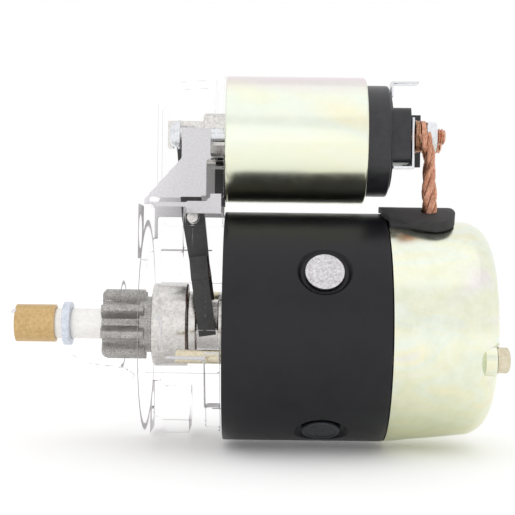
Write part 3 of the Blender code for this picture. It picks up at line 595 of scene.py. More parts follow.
def rubber_look():
    look = Look("rubber_look", Metallic=0.0)
    grain = look.noise(3.0, 5.0, 0.6)
    specks = look.noise(0.42, 2.0, 0.6)
    base = look.ramp(grain, (0.3, (0.022, 0.021, 0.023)), (0.7, (0.042, 0.040, 0.043)))
    dots = look.ramp(specks, (0.66, (0.0, 0.0, 0.0)), (0.74, (0.05, 0.045, 0.04)))
    look.colour(look.mixed(1.0, base, dots, "ADD"))
    look.roughness(look.ranged(grain, 0.62, 0.8))
    return look.bump((specks, 0.3, 0.08))


def make_looks():
    return {
        "cast_aluminium": cast_aluminium(),
        "yoke_paint": yoke_paint(),
        "zinc_chromate": zinc("zinc_chromate_look", 0.35, 34.0, 30.0, 98.0),
        "cover_zinc": zinc("cover_zinc_look", 0.9, 16.0, -42.0, 60.0),
        "machined_steel": brushed("machined_steel_look", (0.55, 0.53, 0.51), (0.80, 0.78, 0.75), 0.24),
        "laminations": brushed("laminations_look", (0.14, 0.15, 0.18), (0.27, 0.28, 0.32), 0.38),
        "sintered_steel": sintered(),
        "plated_steel": brushed("plated_steel_look", (0.66, 0.67, 0.70), (0.80, 0.81, 0.83), 0.24),
        "copper": copper_look("copper_look"),
        "varnished_winding": brushed("winding_look", (0.28, 0.07, 0.035), (0.45, 0.13, 0.06), 0.35, 0.3),
        "bush_bronze": brushed("bush_bronze_look", (0.50, 0.34, 0.15), (0.68, 0.48, 0.24), 0.35),
        "phenolic": moulding("phenolic_look", (0.016, 0.016, 0.019), (0.030, 0.030, 0.035), 0.36),
        "lever_nylon": moulding("lever_nylon_look", (0.03, 0.03, 0.03), (0.06, 0.06, 0.06), 0.5),
        "rubber": rubber_look(),
        "brush_carbon": moulding("brush_carbon_look", (0.05, 0.04, 0.035), (0.10, 0.08, 0.06), 0.55, 1.0),
        "spring_steel": brushed("spring_steel_look", (0.35, 0.35, 0.37), (0.55, 0.55, 0.57), 0.3),
    }


LOOKS = make_looks()


# ---------------------------------------------------------------- drive housing

NOSE_STATIONS = (  # x, top, bottom, half width
    (-51.6, 10.0, -8.7, 9.3),
    (-51.2, 10.8, -9.5, 10.1),
    (-50.0, 11.3, -9.9, 10.5),
    (-44.0, 11.9, -10.1, 11.2),
    (-40.0, 13.2, -11.0, 13.2),
    (-36.0, 16.4, -13.2, 15.6),
    (-30.3, 20.0, -16.2, 18.3),
    (-22.0, 23.0, -18.8, 20.3),
    (-14.0, 24.6, -19.6, 21.8),
    (-6.0, 25.4, -21.4, 23.4),
    (-3.6, 26.6, -23.6, 25.4),
    (-1.5, 28.6, -26.0, 27.5),
)
SADDLE_STATIONS = (  # x, top, widest height, half width
    (-49.5, 9.4, 4.5, 7.8),
    (-46.0, 11.6, 6.0, 10.5),
    (-40.0, 15.5, 8.9, 11.3),
    (-35.6, 18.4, 11.4, 13.0),
    (-28.0, 23.0, 12.8, 16.8),
    (-15.0, 26.8, 13.5, 19.0),
    (-6.0, 24.0, 12.0, 18.0),
)
WINDOW_OUTLINE = (
    (-30.0, 0.8),
    (-29.8, 4.5),
    (-27.8, 6.2),
    (-25.5, 7.4),
    (-22.6, 8.6),
    (-19.7, 9.3),
    (-10.1, 9.1),
    (-8.0, 8.4),
    (-6.3, 6.9),
    (-5.2, 5.4),
    (-4.6, 3.8),
    (-4.1, 1.1),
    (-2.9, 0.1),
    (-2.5, -4.4),
    (-1.9, -7.1),
    (-1.7, -17.0),
    (-2.9, -17.0),
    (-6.7, -14.7),
    (-13.9, -14.1),
    (-20.1, -13.4),
    (-23.8, -11.5),
    (-27.8, -9.5),
    (-28.6, -8.9),
    (-29.3, -6.1),
)


def nose_shape():
    """The nose cone's outside, lofted through its stations."""
    bm = bmesh.new()
    steps = 72
    rings = []
    for x, top, bottom, half in NOSE_STATIONS:
        centre = (top + bottom) / 2
        height = (top - bottom) / 2
        turns = [2 * pi * i / steps for i in range(steps)]
        rings.append([bm.verts.new((x, half * cos(t), centre + height * sin(t))) for t in turns])
    for front, rear in zip(rings, rings[1:]):
        for i in range(steps):
            k = (i + 1) % steps
            bm.faces.new((front[i], front[k], rear[k], rear[i]))
    bm.faces.new(rings[0])
    bm.faces.new(rings[-1])
    return outward(bm)


def nose_saddle():
    """The flanks that spread from the nose's web down to a crease on either side."""
    bm = bmesh.new()
    rings = []
    for x, top, height, half in SADDLE_STATIONS:
        side = ((3.0, top), (half, height), (half * 0.6, height - 5.0))
        outline = list(side) + [(-y, z) for y, z in reversed(side)]
        rings.append([bm.verts.new((x, y, z)) for y, z in outline])
    count = len(rings[0])
    for front, rear in zip(rings, rings[1:]):
        for i in range(count):
            k = (i + 1) % count
            bm.faces.new((front[i], front[k], rear[k], rear[i]))
    bm.faces.new(rings[0])
    bm.faces.new(rings[-1])
    bmesh.ops.triangulate(bm, faces=bm.faces)
    return outward(bm)


def housing_body():
    section = (
        (-3.0, 0),
        (-3.0, 35.9),
        (-2.4, 36.5),
        (0, 36.5),
        (0, 39.4),
        (2.0, 39.4),
        (2.6, 41.0),
        (22.9, 41.0),
        (23.4, 42.4),
        (HOUSING_REAR, 42.4),
        (HOUSING_REAR, 0),
    )
    return turned(section, 144)


def chamber_shapes():
    """The tall front part over the lever, and the wide part that carries the solenoid."""
    front = prism(((3.8, 36), (3.8, 81.7), (12.6, 89.8), (27.0, 90.7), (27.0, 36)), "y", -10.5, 10.5)
    side = ((-22.5, 28), (-22.5, 71.6), (-20.6, 75.6), (-15.5, 79.6), (-10.0, 80.8))
    outline = list(side) + [(-y, z) for y, z in reversed(side)]
    wide = prism(outline, "x", 0.3, 28.0)
    slope = ((-6.0, 40.0), (-6.0, 95.0), (13.1, 95.0), (13.1, 60.5), (0.3, 46.0), (0.3, 40.0))
    wide = combined(wide, [("DIFFERENCE", prism(slope, "y", -30, 30))])
    return [front, wide]


def ear_shapes(side):
    """One fixing ear: a plate on the flange plane, the block behind it and its gusset."""
    plate = rounded_outline(-40.0, -18.5, 24.5, 44.0, 1.5)
    body = ((-39.0, 28.0), (-39.0, 40.4), (-36.4, 43.0), (-16.5, 43.0), (-16.5, 25.3), (-36.4, 25.3))
    gusset = prism(((-30, 27), (-39.6, 27), (-41.2, 16), (-42.5, 5), (-36, 5)), "x", 2.0, 22.0)
    reach = ((3.0, 28), (15.2, 28), (14.8, 24), (14.6, 16), (15.8, 10.5), (18.0, 6.3), (20, 4), (3.0, 4))
    gusset = common(gusset, prism(reach, "y", -50, -25))
    shapes = [prism(plate, "x", 0.0, 3.9), prism(body, "x", 5.0, 15.3), gusset]
    shapes.append(prism(rounded_outline(-38.2, -18.5, 25.4, 42.4, 1.0), "x", 3.0, 6.0))
    if side > 0:
        for shape in shapes:
            bmesh.ops.rotate(shape, matrix=Matrix.Rotation(pi, 3, "X"), verts=shape.verts)
    return shapes


def raised_lines():
    """The casting's raised panel and the bead round it, on the side away from the engine."""
    panel = [
        sector((8.4, 28.6), (38.5, 42.0), (-12.3, 7.0)),
        sector((4.6, 28.6), (38.5, 42.0), (6.5, 58.0), 32),
        sector((16.8, 28.6), (38.5, 44.0), (-126.0, -54.0), 40),
        sector((23.4, 28.6), (38.5, 42.6), (-60.0, -10.0)),
    ]
    route = (
        (4.5, 34.0),
        (4.5, 20.0),
        (4.6, 9.0),
        (5.4, 7.4),
        (8.0, 6.2),
        (8.5, 4.5),
        (8.5, -8.5),
        (9.0, -11.0),
        (10.6, -12.3),
        (14.0, -12.6),
        (21.6, -12.9),
        (23.0, -14.0),
        (23.4, -16.0),
        (23.5, -35.0),
        (23.5, -62.0),
    )
    path = smooth_route([angle_point(angle, 41.9, x) for x, angle in route], 0.7)
    for side in (-1, 1):
        slope = ((20.0, 29.0), (20.0, 41.0), (22.4, 41.0), (23.2, 39.8), (25.0, 37.2), (28.0, 33.0), (31.2, 28.0))
        panel.append(prism([(side * y, z) for y, z in slope], "x", 2.2, 28.6))
    step = [angle_point(38.0 + 0.4 * sin(x / 4), 41.75, x) for x in (15.0, 18.0, 21.0, 24.0, 27.0, 28.4)]
    return panel + [tube(path, 0.62, 10), tube(smooth_route(step, 0.8), 0.5, 8)]


def side_panels():
    """Shallow recesses on the near side of the solenoid carrier."""
    return [
        block((24.2, 30.0), (-30.0, -21.5), (61.2, 70.8)),
        block((24.0, 30.0), (-30.0, -10.5), (57.6, 61.0)),
        block((23.8, 30.0), (-30.0, -21.7), (48.2, 57.9)),
    ]


def ledge_lines():
    """Beads along the foot of the solenoid carrier, where its side meets the barrel."""
    foot = [Vector((2.5, -22.4, 45.9)), Vector((12, -22.4, 45.8)), Vector((22.6, -22.4, 46.4))]
    post = [Vector((23.2, -22.4, 46.6)), Vector((23.3, -22.4, 54)), Vector((23.4, -22.4, 60))]
    return [tube(smooth_route(line, 1.0), 0.55, 8) for line in (foot, post)]


def nose_ribs():
    """The web on top of the nose and the creases down its side."""
    top = (
        (-46.0, 9.0),
        (-45.6, 12.0),
        (-42.0, 14.4),
        (-39.0, 16.3),
        (-36.4, 18.0),
        (-30.3, 22.2),
        (-21.8, 25.3),
        (-14.9, 27.3),
        (-5.7, 29.5),
        (-1.0, 31.0),
        (-1.0, 12.0),
    )
    return [prism(top, "y", -3.1, 3.1), nose_saddle()]


def housing_cuts():
    bore = (
        (-49.0, 0),
        (-49.0, 7.3),
        (-32.0, 7.3),
        (-32.0, 9.5),
        (-29.5, 9.5),
        (-29.5, 14.6),
        (-9.0, 14.6),
        (-9.0, 16.7),
        (3.5, 16.7),
        (3.5, 0),
    )
    lever = ((6.5, 30), (6.5, 80.5), (13.0, 85.0), (24.5, 85.0), (24.5, 59.0), (30.0, 59.0), (30.0, 30))
    hole = ((6.5, 0), (6.5, 8.4), (16.0, 10.6), (30.0, 10.6), (30.0, 0))
    cuts = [
        turned(bore, 72),
        prism(WINDOW_OUTLINE, "y", -40.0, -4.0),
        prism(lever, "y", -8.0, 8.0),
        turned(hole, 72, z=SOLENOID_Z),
        block((20.6, 30.0), (-50.0, -36.8), (-5.6, 0.1)),
    ]
    cuts += side_panels()
    for side in (-1, 1):
        y, z = -31.0 * -side, 34.2 * -side
        cuts.append(rod((-2, y, z), (18, y, z), 5.25))
        cuts.append(rod((-2, y, z), (0.8, y, z), 6.4, 48, 5.25))
        crease = [(x, side * (half + 0.1), height - 0.3) for x, _, height, half in SADDLE_STATIONS[:6]]
        cuts.append(tube(smooth_route(crease, 1.0), 0.55, 8))
    for angle in BOLT_ANGLES:
        cuts.append(rod(angle_point(angle, BOLT_CIRCLE, 10), angle_point(angle, BOLT_CIRCLE, 30), 2.7))
    for y in (-SCREW_Y, SCREW_Y):
        cuts.append(rod((11, y, SOLENOID_Z), (30, y, SOLENOID_Z), 2.9))
    cuts.append(rod((17.0, -11.0, 40.0), (17.0, 11.0, 40.0), 2.3))
    return cuts


def drive_housing():
    flange = ((25.3, 0), (25.3, 23.1), (25.8, SOLENOID_RADIUS), (HOUSING_REAR, SOLENOID_RADIUS), (HOUSING_REAR, 0))
    steps = [("UNION", nose_shape())]
    steps += [("UNION", shape) for shape in nose_ribs() + chamber_shapes()]
    steps.append(("UNION", turned(flange, 96, z=SOLENOID_Z)))
    for side in (-1, 1):
        steps += [("UNION", shape) for shape in ear_shapes(side)]
    steps += [("UNION", shape) for shape in raised_lines() + ledge_lines()]
    barrel = ((2.5, 0), (2.5, 37.5), (HOUSING_REAR + 2, 37.5), (HOUSING_REAR + 2, 0))
    steps.append(("DIFFERENCE", turned(barrel, 144)))
    for angle in BOLT_ANGLES:
        boss = rod(angle_point(angle, BOLT_CIRCLE, 1.5), angle_point(angle, BOLT_CIRCLE, 28.0), 5.5)
        steps.append(("UNION", boss))
    steps += [("DIFFERENCE", shape) for shape in housing_cuts()]
    bm = combined(housing_body(), steps)
    bmesh.ops.scale(bm, vec=(MM, MM, MM), verts=bm.verts)
    bm = modified(
        bm,
        ("REMESH", {"mode": "VOXEL", "voxel_size": CAST_VOXEL * MM}),
        ("SMOOTH", {"factor": 0.5, "iterations": 3}),
    )
    triangles = 2 * len(bm.faces)
    bm = modified(bm, ("DECIMATE", {"ratio": min(1.0, CAST_TRIANGLES / triangles)}))
    bmesh.ops.scale(bm, vec=(1 / MM, 1 / MM, 1 / MM), verts=bm.verts)
    look = LOOKS["cast_aluminium"]
    return piece("housing_casting", bm, "root", look, ["drive_housing"], None)


# ---------------------------------------------------------------- shaft and drive


def pinion():
    """Eight straight teeth with rounded tips, chamfered at the front, and their boss."""
    pitch = 2 * pi / 8
    outline = []
    for i in range(8):
        middle = radians(-60) + pitch * i
        shape = (
            (-0.40, 8.25),
            (-0.31, 8.4),
            (-0.25, 9.6),
            (-0.205, 11.2),
            (-0.15, 12.7),
            (-0.115, 13.25),
            (-0.06, 13.4),
            (0.06, 13.4),
            (0.115, 13.25),
            (0.15, 12.7),
            (0.205, 11.2),
            (0.25, 9.6),
            (0.31, 8.4),
            (0.40, 8.25),
        )
        for share, radius in shape:
            turn = middle + share * pitch
            outline.append((-radius * cos(turn), radius * sin(turn)))
    teeth = prism(outline, "x", -16.1, -0.4)
    cone = ((-16.1, 0), (-16.1, 12.1), (-14.6, 13.6), (-0.4, 13.6), (-0.4, 0))
    teeth = common(teeth, turned(cone, 96))
    boss = turned(((-2.0, 0), (-2.0, 10.4), (2.2, 10.4), (2.2, 0)), 96)
    bore = rod((-20, 0, 0), (5, 0, 0), 5.95, 64)
    bm = combined(teeth, [("UNION", boss), ("DIFFERENCE", bore)])
    bm = softened(bm, 0.25, 2, 40)
    piece("pinion_gear", bm, "pinion", LOOKS["sintered_steel"], ["pinion"], 40)


def shaft_parts():
    shaft = fillet(
        (
            (-47.6, 0),
            (-47.6, 5.0),
            (-46.9, 5.65),
            (2.7, 5.65),
            (2.7, 7.0),
            (110.5, 7.0),
            (110.5, 5.0),
            (121.0, 5.0),
            (121.0, 0),
        ),
        0.2,
    )
    steel = LOOKS["machined_steel"]
    # Painted light: the shaft's steel is brighter and less metallic than the other steel, standing in for the light
    # on its lower half seen through the window.
    piece("shaft", turned(shaft, 64), "armature", LOOKS["ground_steel"], ["armature_shaft"])
    collar = fillet(((-31.1, 5.95), (-31.1, 8.1, 0.5), (-28.0, 8.1, 0.5), (-28.0, 5.95)), 0.3)
    # Painted light: the collar's steel is brightened and tinted blue, standing in for the light and the blue
    # highlight on it where it sits in shade.
    dark = LOOKS["collar_steel"]
    piece("nose_stop_collar", turned(collar, 72), "armature", dark, ["stop_collar"])
    shell = ((2.5, 7.3), (2.5, 15.5, 1.2), (15.5, 15.5, 0.6), (15.5, 7.3))
    piece("clutch_can", turned(fillet(shell), 96), "drive", steel, ["clutch_shell"])
    sleeve = (
        (15.8, 7.3),
        (15.8, 12.5),
        (18.7, 12.5),
        (18.7, 9.5),
        (26.8, 9.5),
        (26.8, 12.5),
        (29.0, 12.5),
        (29.0, 9.5),
        (31.0, 9.5),
        (31.0, 7.3),
    )
    piece("sliding_sleeve", turned(fillet(sleeve), 72), "drive", steel, ["drive_sleeve"])


# ---------------------------------------------------------------- yoke


def yoke():
    section = [(YOKE_FRONT, YOKE_BORE), (YOKE_FRONT, YOKE_RADIUS - 0.5), (YOKE_FRONT + 0.15, YOKE_RADIUS - 0.15)]
    section += [(YOKE_FRONT + 0.5 + (YOKE_REAR - YOKE_FRONT - 1) * i / 40, YOKE_RADIUS) for i in range(41)]
    section += [(YOKE_REAR - 0.15, YOKE_RADIUS - 0.15), (YOKE_REAR, YOKE_RADIUS - 0.5), (YOKE_REAR, YOKE_BORE)]
    steps = []
    for angle in POLE_ANGLES:
        steps.append(("DIFFERENCE", pocket(angle)))
        outside = angle_point(angle, YOKE_RADIUS + 6, POLE_SCREW_X)
        steps.append(("DIFFERENCE", rod(angle_point(angle, 30, POLE_SCREW_X), outside, 4.3, 48)))
    bm = combined(turned(section, 180), steps)
    piece("yoke_tube", bm, "root", LOOKS["yoke_paint"], ["yoke"], 24)
    for number, angle in enumerate(POLE_ANGLES, 1):
        pole_screw(f"pole_screw_{number}", angle)


def pocket(angle):
    """Cutter for the dished pocket round a pole screw, with a rounded lip."""
    rings = (
        (-1.8, 0),
        (-1.8, 7.5),
        (-1.6, 8.3),
        (-1.0, 9.0),
        (-0.3, 9.5),
        (0.0, 9.8),
        (0.4, 10.5),
        (6.0, 12.2),
        (6.0, 0),
    )
    bm = turned(rings, 96)
    bmesh.ops.rotate(bm, matrix=Matrix.Rotation(-pi / 2, 3, "Y"), verts=bm.verts)
    return along(bm, angle_point(angle, YOKE_RADIUS, POLE_SCREW_X), angle_point(angle, 1.0, 0))


def pole_screw(node, angle):
    """A flat screw head with a raised ring near its edge and small dents where it was staked."""
    section = fillet(
        (
            (-11.0, 0),
            (-11.0, 4.0),
            (0.0, 4.0),
            (0.0, 6.9, 0.3),
            (1.2, 6.9, 0.4),
            (1.25, 5.75, 0.3),
            (1.0, 5.35, 0.3),
            (1.15, 4.7, 0.5),
            (1.3, 0),
        ),
        0.2,
        4,
    )
    bm = turned(section, 96)
    dents = []
    for turn, radius, size in ((75, 3.6, 0.5), (165, 3.9, 0.7), (20, 4.3, 0.6), (300, 0.7, 0.55)):
        y, z = radius * cos(radians(turn)), radius * sin(radians(turn))
        dent = turned(((0.95, 0), (1.15, size * 0.7), (2.0, size * 1.5), (2.0, 0)), 24, y, z)
        dents.append(("DIFFERENCE", dent))
    bm = combined(bm, dents)
    bmesh.ops.rotate(bm, matrix=Matrix.Rotation(-pi / 2, 3, "Y"), verts=bm.verts)
    start = angle_point(angle, YOKE_RADIUS - 1.8 + GAP, POLE_SCREW_X)
    along(bm, start, angle_point(angle, 1.0, 0))
    # Painted shade: screws on the lower half get a near-black steel, standing in for the shade they face and
    # reflect; the upper ones keep the plain screw steel.
    look = LOOKS["dull_steel"] if angle > 180 else LOOKS["staked_steel"]
    piece(f"{node}_head", bm, "root", look, [node])


# ---------------------------------------------------------------- rear cover


def rear_cover():
    outer = [(88.0, 0), (88.0, 42.35), (92.0, 42.1), (97.0, 41.5), (107.0, 40.65), (116.4, 39.6)]
    for i in range(1, 13):
        turn = radians(90 - 90 * i / 12)
        outer.append((116.4 + 9.8 * cos(turn), 29.8 + 9.8 * sin(turn)))
    outer += [(126.2, 0)]
    inner = [(86.0, 0), (86.0, 40.3), (97.0, 39.5), (116.4, 37.5)]
    for i in range(1, 9):
        turn = radians(90 - 90 * i / 8)
        inner.append((116.4 + 7.7 * cos(turn), 29.8 + 7.7 * sin(turn)))
    inner += [(124.1, 0)]
    steps = [("DIFFERENCE", turned(inner, 120))]
    for angle in BOLT_ANGLES:
        seat = angle_point(angle, BOLT_CIRCLE, BOLT_SEAT)
        outside = angle_point(angle, BOLT_CIRCLE, 130)
        steps.append(("UNION", rod(angle_point(angle, BOLT_CIRCLE, 120), seat, 5.5)))
        steps.append(("DIFFERENCE", rod(seat, outside, 6.0)))
        steps.append(("DIFFERENCE", rod(angle_point(angle, BOLT_CIRCLE, 108), outside, 2.8)))
    boss = turned(((113.5, 7.8), (113.5, 10.2), (125.2, 10.2), (125.2, 7.8)), 64)
    steps.append(("UNION", boss))
    steps.append(("DIFFERENCE", sector((85, 106.3), (34.0, 46.0), (60.0, 80.0), 12)))
    bm = softened(combined(turned(outer, 180), steps), 0.35, 2, 32)
    piece("cover_shell", bm, "root", LOOKS["cover_zinc"], ["rear_cover"], 30)


def through_bolt(number, angle):
    centre = angle_point(angle, BOLT_CIRCLE, 0)
    start = BOLT_SEAT + GAP
    section = fillet(
        ((13.0, 0), (13.0, 2.4), (start, 2.4), (start, 4.65, 0.3), (start + 1.0, 4.65, 0.3), (start + 1.0, 0)), 0.2
    )
    shank = turned(section, 64, centre.y, centre.z)
    head = prism(hexagon_outline(7.8, centre.y, centre.z, 30.0), "x", start + 0.7, BOLT_SEAT + 4.8)
    top = BOLT_SEAT + 4.8
    crown = turned(((start, 0), (start, 4.6), (top - 0.7, 4.6), (top, 3.5), (top, 0)), 64, centre.y, centre.z)
    dish = turned(((top - 0.35, 0), (top + 1, 2.9), (top + 1, 0)), 48, centre.y, centre.z)
    head = combined(head, [("INTERSECT", crown), ("DIFFERENCE", dish)])
    bm = softened(combined(shank, [("UNION", head)]), 0.15, 2, 30)
    name = f"through_bolt_{number}"
    piece(f"{name}_hex", bm, "root", LOOKS["bolt"], [name])


# ---------------------------------------------------------------- solenoid


def solenoid_case():
    section = fillet(
        (
            (SOLENOID_FRONT, 10.3),
            (SOLENOID_FRONT, SOLENOID_RADIUS, 0.8),
            (SOLENOID_REAR, SOLENOID_RADIUS, 1.4),
            (SOLENOID_REAR, 21.0, 0.3),
            (SOLENOID_REAR - 1.2, 21.0, 0),
            (SOLENOID_REAR - 1.2, 21.6, 0),
            (SOLENOID_FRONT + 3.5, 21.6),
            (SOLENOID_FRONT + 3.5, 10.3),
        ),
        0.3,
        5,
    )
    bm = turned(section, 180, z=SOLENOID_Z)
    steps = []
    for y in (-SCREW_Y, SCREW_Y):
        steps.append(("DIFFERENCE", rod((26, y, SOLENOID_Z), (35, y, SOLENOID_Z), 2.8)))
    bm = combined(bm, steps)
    piece("solenoid_can", bm, "root", LOOKS["zinc_chromate"], ["solenoid_case"], 30)


def terminal_cap():
    section = fillet(
        (
            (87.3, 0),
            (87.3, 18.6),
            (74.6, 18.6),
            (74.6, 21.2),
            (78.8, 21.2),
            (78.8, 20.7, 0),
            (88.9, 20.7, 1.9),
            (88.9, 18.4, 0.2),
            (89.7, 18.2, 0.4),
            (89.7, 0),
        ),
        0.3,
        4,
    )
    raised = prism(rounded_outline(-17.4, 17.4, 60.6, 80.5, 3.0), "x", 88.0, 96.0)
    wall = block((95.0, 101.4), (-1.5, 1.5), (60.0, 79.4))
    steps = [
        ("UNION", raised),
        ("UNION", wall),
        ("DIFFERENCE", rod((85, MOTOR_STUD_Y, STUD_Z), (98, MOTOR_STUD_Y, STUD_Z), 3.3)),
        ("DIFFERENCE", rod((85, BATTERY_STUD_Y, STUD_Z), (98, BATTERY_STUD_Y, STUD_Z), 4.3)),
    ]
    bm = softened(combined(turned(section, 144, z=SOLENOID_Z), steps), 0.5, 3, 40)
    piece("terminal_moulding", bm, "root", LOOKS["phenolic"], ["terminal_cap"], 35)


def nut(name, node, y, bore, flats, start, end, look):
    outline = hexagon_outline(flats, y, STUD_Z, 7.0)
    corner = flats / sqrt(3)
    inner = flats / 2 + 0.1
    round_off = turned(
        (
            (start - 0.01, 0),
            (start - 0.01, inner),
            (start + 0.6, corner + 0.1),
            (end - 0.6, corner + 0.1),
            (end + 0.01, inner),
            (end + 0.01, 0),
        ),
        72,
        y,
        STUD_Z,
    )
    hole = turned(
        ((start - 1, 0), (start - 1, bore), (end - 0.5, bore), (end + 0.6, bore + 1.1), (end + 0.6, 0)),
        48,
        y,
        STUD_Z,
    )
    bm = combined(prism(outline, "x", start, end), [("INTERSECT", round_off), ("DIFFERENCE", hole)])
    bm = softened(bm, 0.12, 2, 28)
    piece(name, bm, "root", look, [node], 28)


def studs():
    copper = LOOKS["copper"]
    for name, y, radius, end, pitch in (
        ("motor_stud", MOTOR_STUD_Y, 3.0, 108.9, 1.0),
        ("battery_stud", BATTERY_STUD_Y, 4.0, 111.0, 1.25),
    ):
        head = turned(fillet(((85.4, 0), (85.4, 5.8), (87.0, 5.8), (87.0, radius), (94, radius), (94, 0)), 0.2), 48, y, STUD_Z)
        thread = threaded(93.5, end, radius, pitch, 0.45, y, STUD_Z)
        bm = combined(head, [("UNION", thread)])
        piece(f"{name}_thread", bm, "root", copper, [name], 50)
    nut("motor_nut", "motor_stud_nut", MOTOR_STUD_Y, 3.3, 10.6, 101.9, 105.5, LOOKS["plated_steel"])
    nut("battery_nut", "battery_stud_nut", BATTERY_STUD_Y, 4.3, 13.0, 96.3, 102.3, LOOKS["plated_steel"])
    washer = fillet(
        (
            (97.9, 3.3),
            (97.9, 5.95, 0.15),
            (98.35, 5.95, 0.15),
            (98.4, 5.3, 0.1),
            (98.45, 5.85, 0.2),
            (98.95, 5.85, 0.2),
            (99.0, 5.2, 0.1),
            (99.05, 5.8, 0.2),
            (99.5, 5.8, 0.2),
            (99.5, 3.3),
        ),
        0.1,
    )
    bm = turned(washer, 64, MOTOR_STUD_Y, STUD_Z)
    piece("motor_washer", bm, "root", LOOKS["brassy"], ["motor_stud_washer"])
    lug = turned(fillet(((99.8, 3.3), (99.8, 5.8), (101.6, 5.8), (101.6, 3.3)), 0.3), 64, MOTOR_STUD_Y, STUD_Z)
    tail = block((99.8, 101.6), (-18.0, -16.0), (68.0, 72.6))
    bm = softened(combined(lug, [("UNION", tail)]), 0.2, 2, 35)
    piece("lead_eyelet", bm, "root", copper, ["lead_lug"])


def strips():
    """The strap under the motor stud and the spade terminal, both pressed strip."""
    plated = LOOKS["plated_steel"]
    strap = ((89.9, 58.4), (97.5, 58.4), (97.5, 77.0), (96.6, 77.0), (96.6, 59.3), (89.9, 59.3))
    hole = rod((95, MOTOR_STUD_Y, STUD_Z), (99, MOTOR_STUD_Y, STUD_Z), 3.3)
    bm = combined(prism(strap, "y", -15.5, -8.5), [("DIFFERENCE", hole)])
    piece("coil_strip", softened(bm, 0.15, 2, 35), "root", plated, ["coil_strap"])
    spade = ((89.8, 85.5), (90.6, 85.5), (90.6, 90.5), (100.0, 90.5), (100.0, 91.3), (89.8, 91.3))
    bm = prism(spade, "y", -6.2, 0.1)
    piece("switch_spade", softened(bm, 0.18, 2, 35), "root", plated, ["spade_terminal"])


def solenoid_screw(side, y):
    """Pan head with a cross recess, a plain washer and its shank."""
    section = fillet(
        (
            (8.9, 0),
            (8.9, 2.6, 1.2),
            (9.6, 4.0, 1.0),
            (11.0, 4.5, 0.5),
            (11.9, 4.5, 0.1),
            (11.9, 5.25, 0.2),
            (12.8, 5.25, 0.2),
            (12.8, 2.5, 0.1),
            (32.5, 2.5, 0.3),
            (32.5, 0),
        ),
        0.3,
        4,
    )
    bm = turned(section, 72, y, SOLENOID_Z)
    z = SOLENOID_Z
    one = prism(((y - 2.7, z - 0.55), (y + 2.7, z - 0.55), (y + 2.7, z + 0.55), (y - 2.7, z + 0.55)), "x", 8.0, 10.4)
    two = prism(((y - 0.55, z - 2.7), (y + 0.55, z - 2.7), (y + 0.55, z + 2.7), (y - 0.55, z + 2.7)), "x", 8.0, 10.5)
    bm = softened(combined(bm, [("DIFFERENCE", one), ("DIFFERENCE", two)]), 0.12, 2, 45)
    node = f"solenoid_screw_{side}"
    piece(f"{node}_pan", bm, "root", LOOKS["plated_steel"], [node])


# ---------------------------------------------------------------- lead and grommet

LEAD_ROUTE = (
    (100.4, -20.6, 70.6),
    (101.3, -20.2, 66.6),
    (102.4, -17.8, 62.4),
    (102.9, -14.6, 57.6),
    (103.2, -13.5, 51.0),
    (103.4, -13.7, 45.5),
    (103.3, -12.6, 40.0),
    (102.6, -11.2, 35.6),
)


FLAP_EDGE = (  # x and angle round the flap
    (86.3, 92.0),
    (86.3, 80.0),
    (86.4, 72.0),
    (88.0, 67.0),
    (90.5, 64.5),
    (93.5, 62.0),
    (97.0, 60.0),
    (101.0, 58.8),
    (104.5, 58.6),
    (107.5, 60.0),
    (110.0, 62.8),
    (111.7, 66.5),
    (112.6, 71.0),
    (112.7, 77.0),
    (112.2, 84.0),
    (110.5, 89.5),
    (107.5, 93.0),
    (103.0, 94.6),
    (96.0, 94.6),
    (90.0, 93.8),
    (86.3, 92.0),
)
LEAD_STRANDS = 4
WIRES_PER_STRAND = 8
LEAD_TURNS = -1.35


def motor_lead():
    """Strands of fine bare wire laid in a rope, loosening where it enters the grommet."""
    path = smooth_route(LEAD_ROUTE, 0.35)
    count = len(path)
    frames = []
    across = Vector((0, 1, 0))
    for i, point in enumerate(path):
        ahead = (path[min(i + 1, count - 1)] - path[max(i - 1, 0)]).normalized()
        across = (across - ahead * across.dot(ahead)).normalized()
        frames.append((point, across.copy(), ahead.cross(across)))
    wires = []
    for strand in range(LEAD_STRANDS):
        for wire in range(WIRES_PER_STRAND + 1):
            points = []
            for i, (point, across, side) in enumerate(frames):
                share = i / (count - 1)
                turn = 2 * pi * (strand / LEAD_STRANDS - share * LEAD_TURNS)
                loose = max(0.0, 1 - abs(share - 0.66) / 0.28)
                spread = 1.28 + 0.5 * loose
                middle = point + (across * cos(turn) + side * sin(turn)) * spread
                if wire == WIRES_PER_STRAND:
                    points.append(middle)
                    continue
                twist = turn * 0.6 + 2 * pi * (wire / WIRES_PER_STRAND + share * 1.6)
                reach = 0.74 + 0.16 * loose
                points.append(middle + (across * cos(twist) + side * sin(twist)) * reach)
            radius = 0.62 if wire == WIRES_PER_STRAND else 0.30
            wires.append(tube(points, radius, 8))
    piece("bare_lead", joined(*wires), "root", LOOKS["rope"], ["motor_lead"], None)


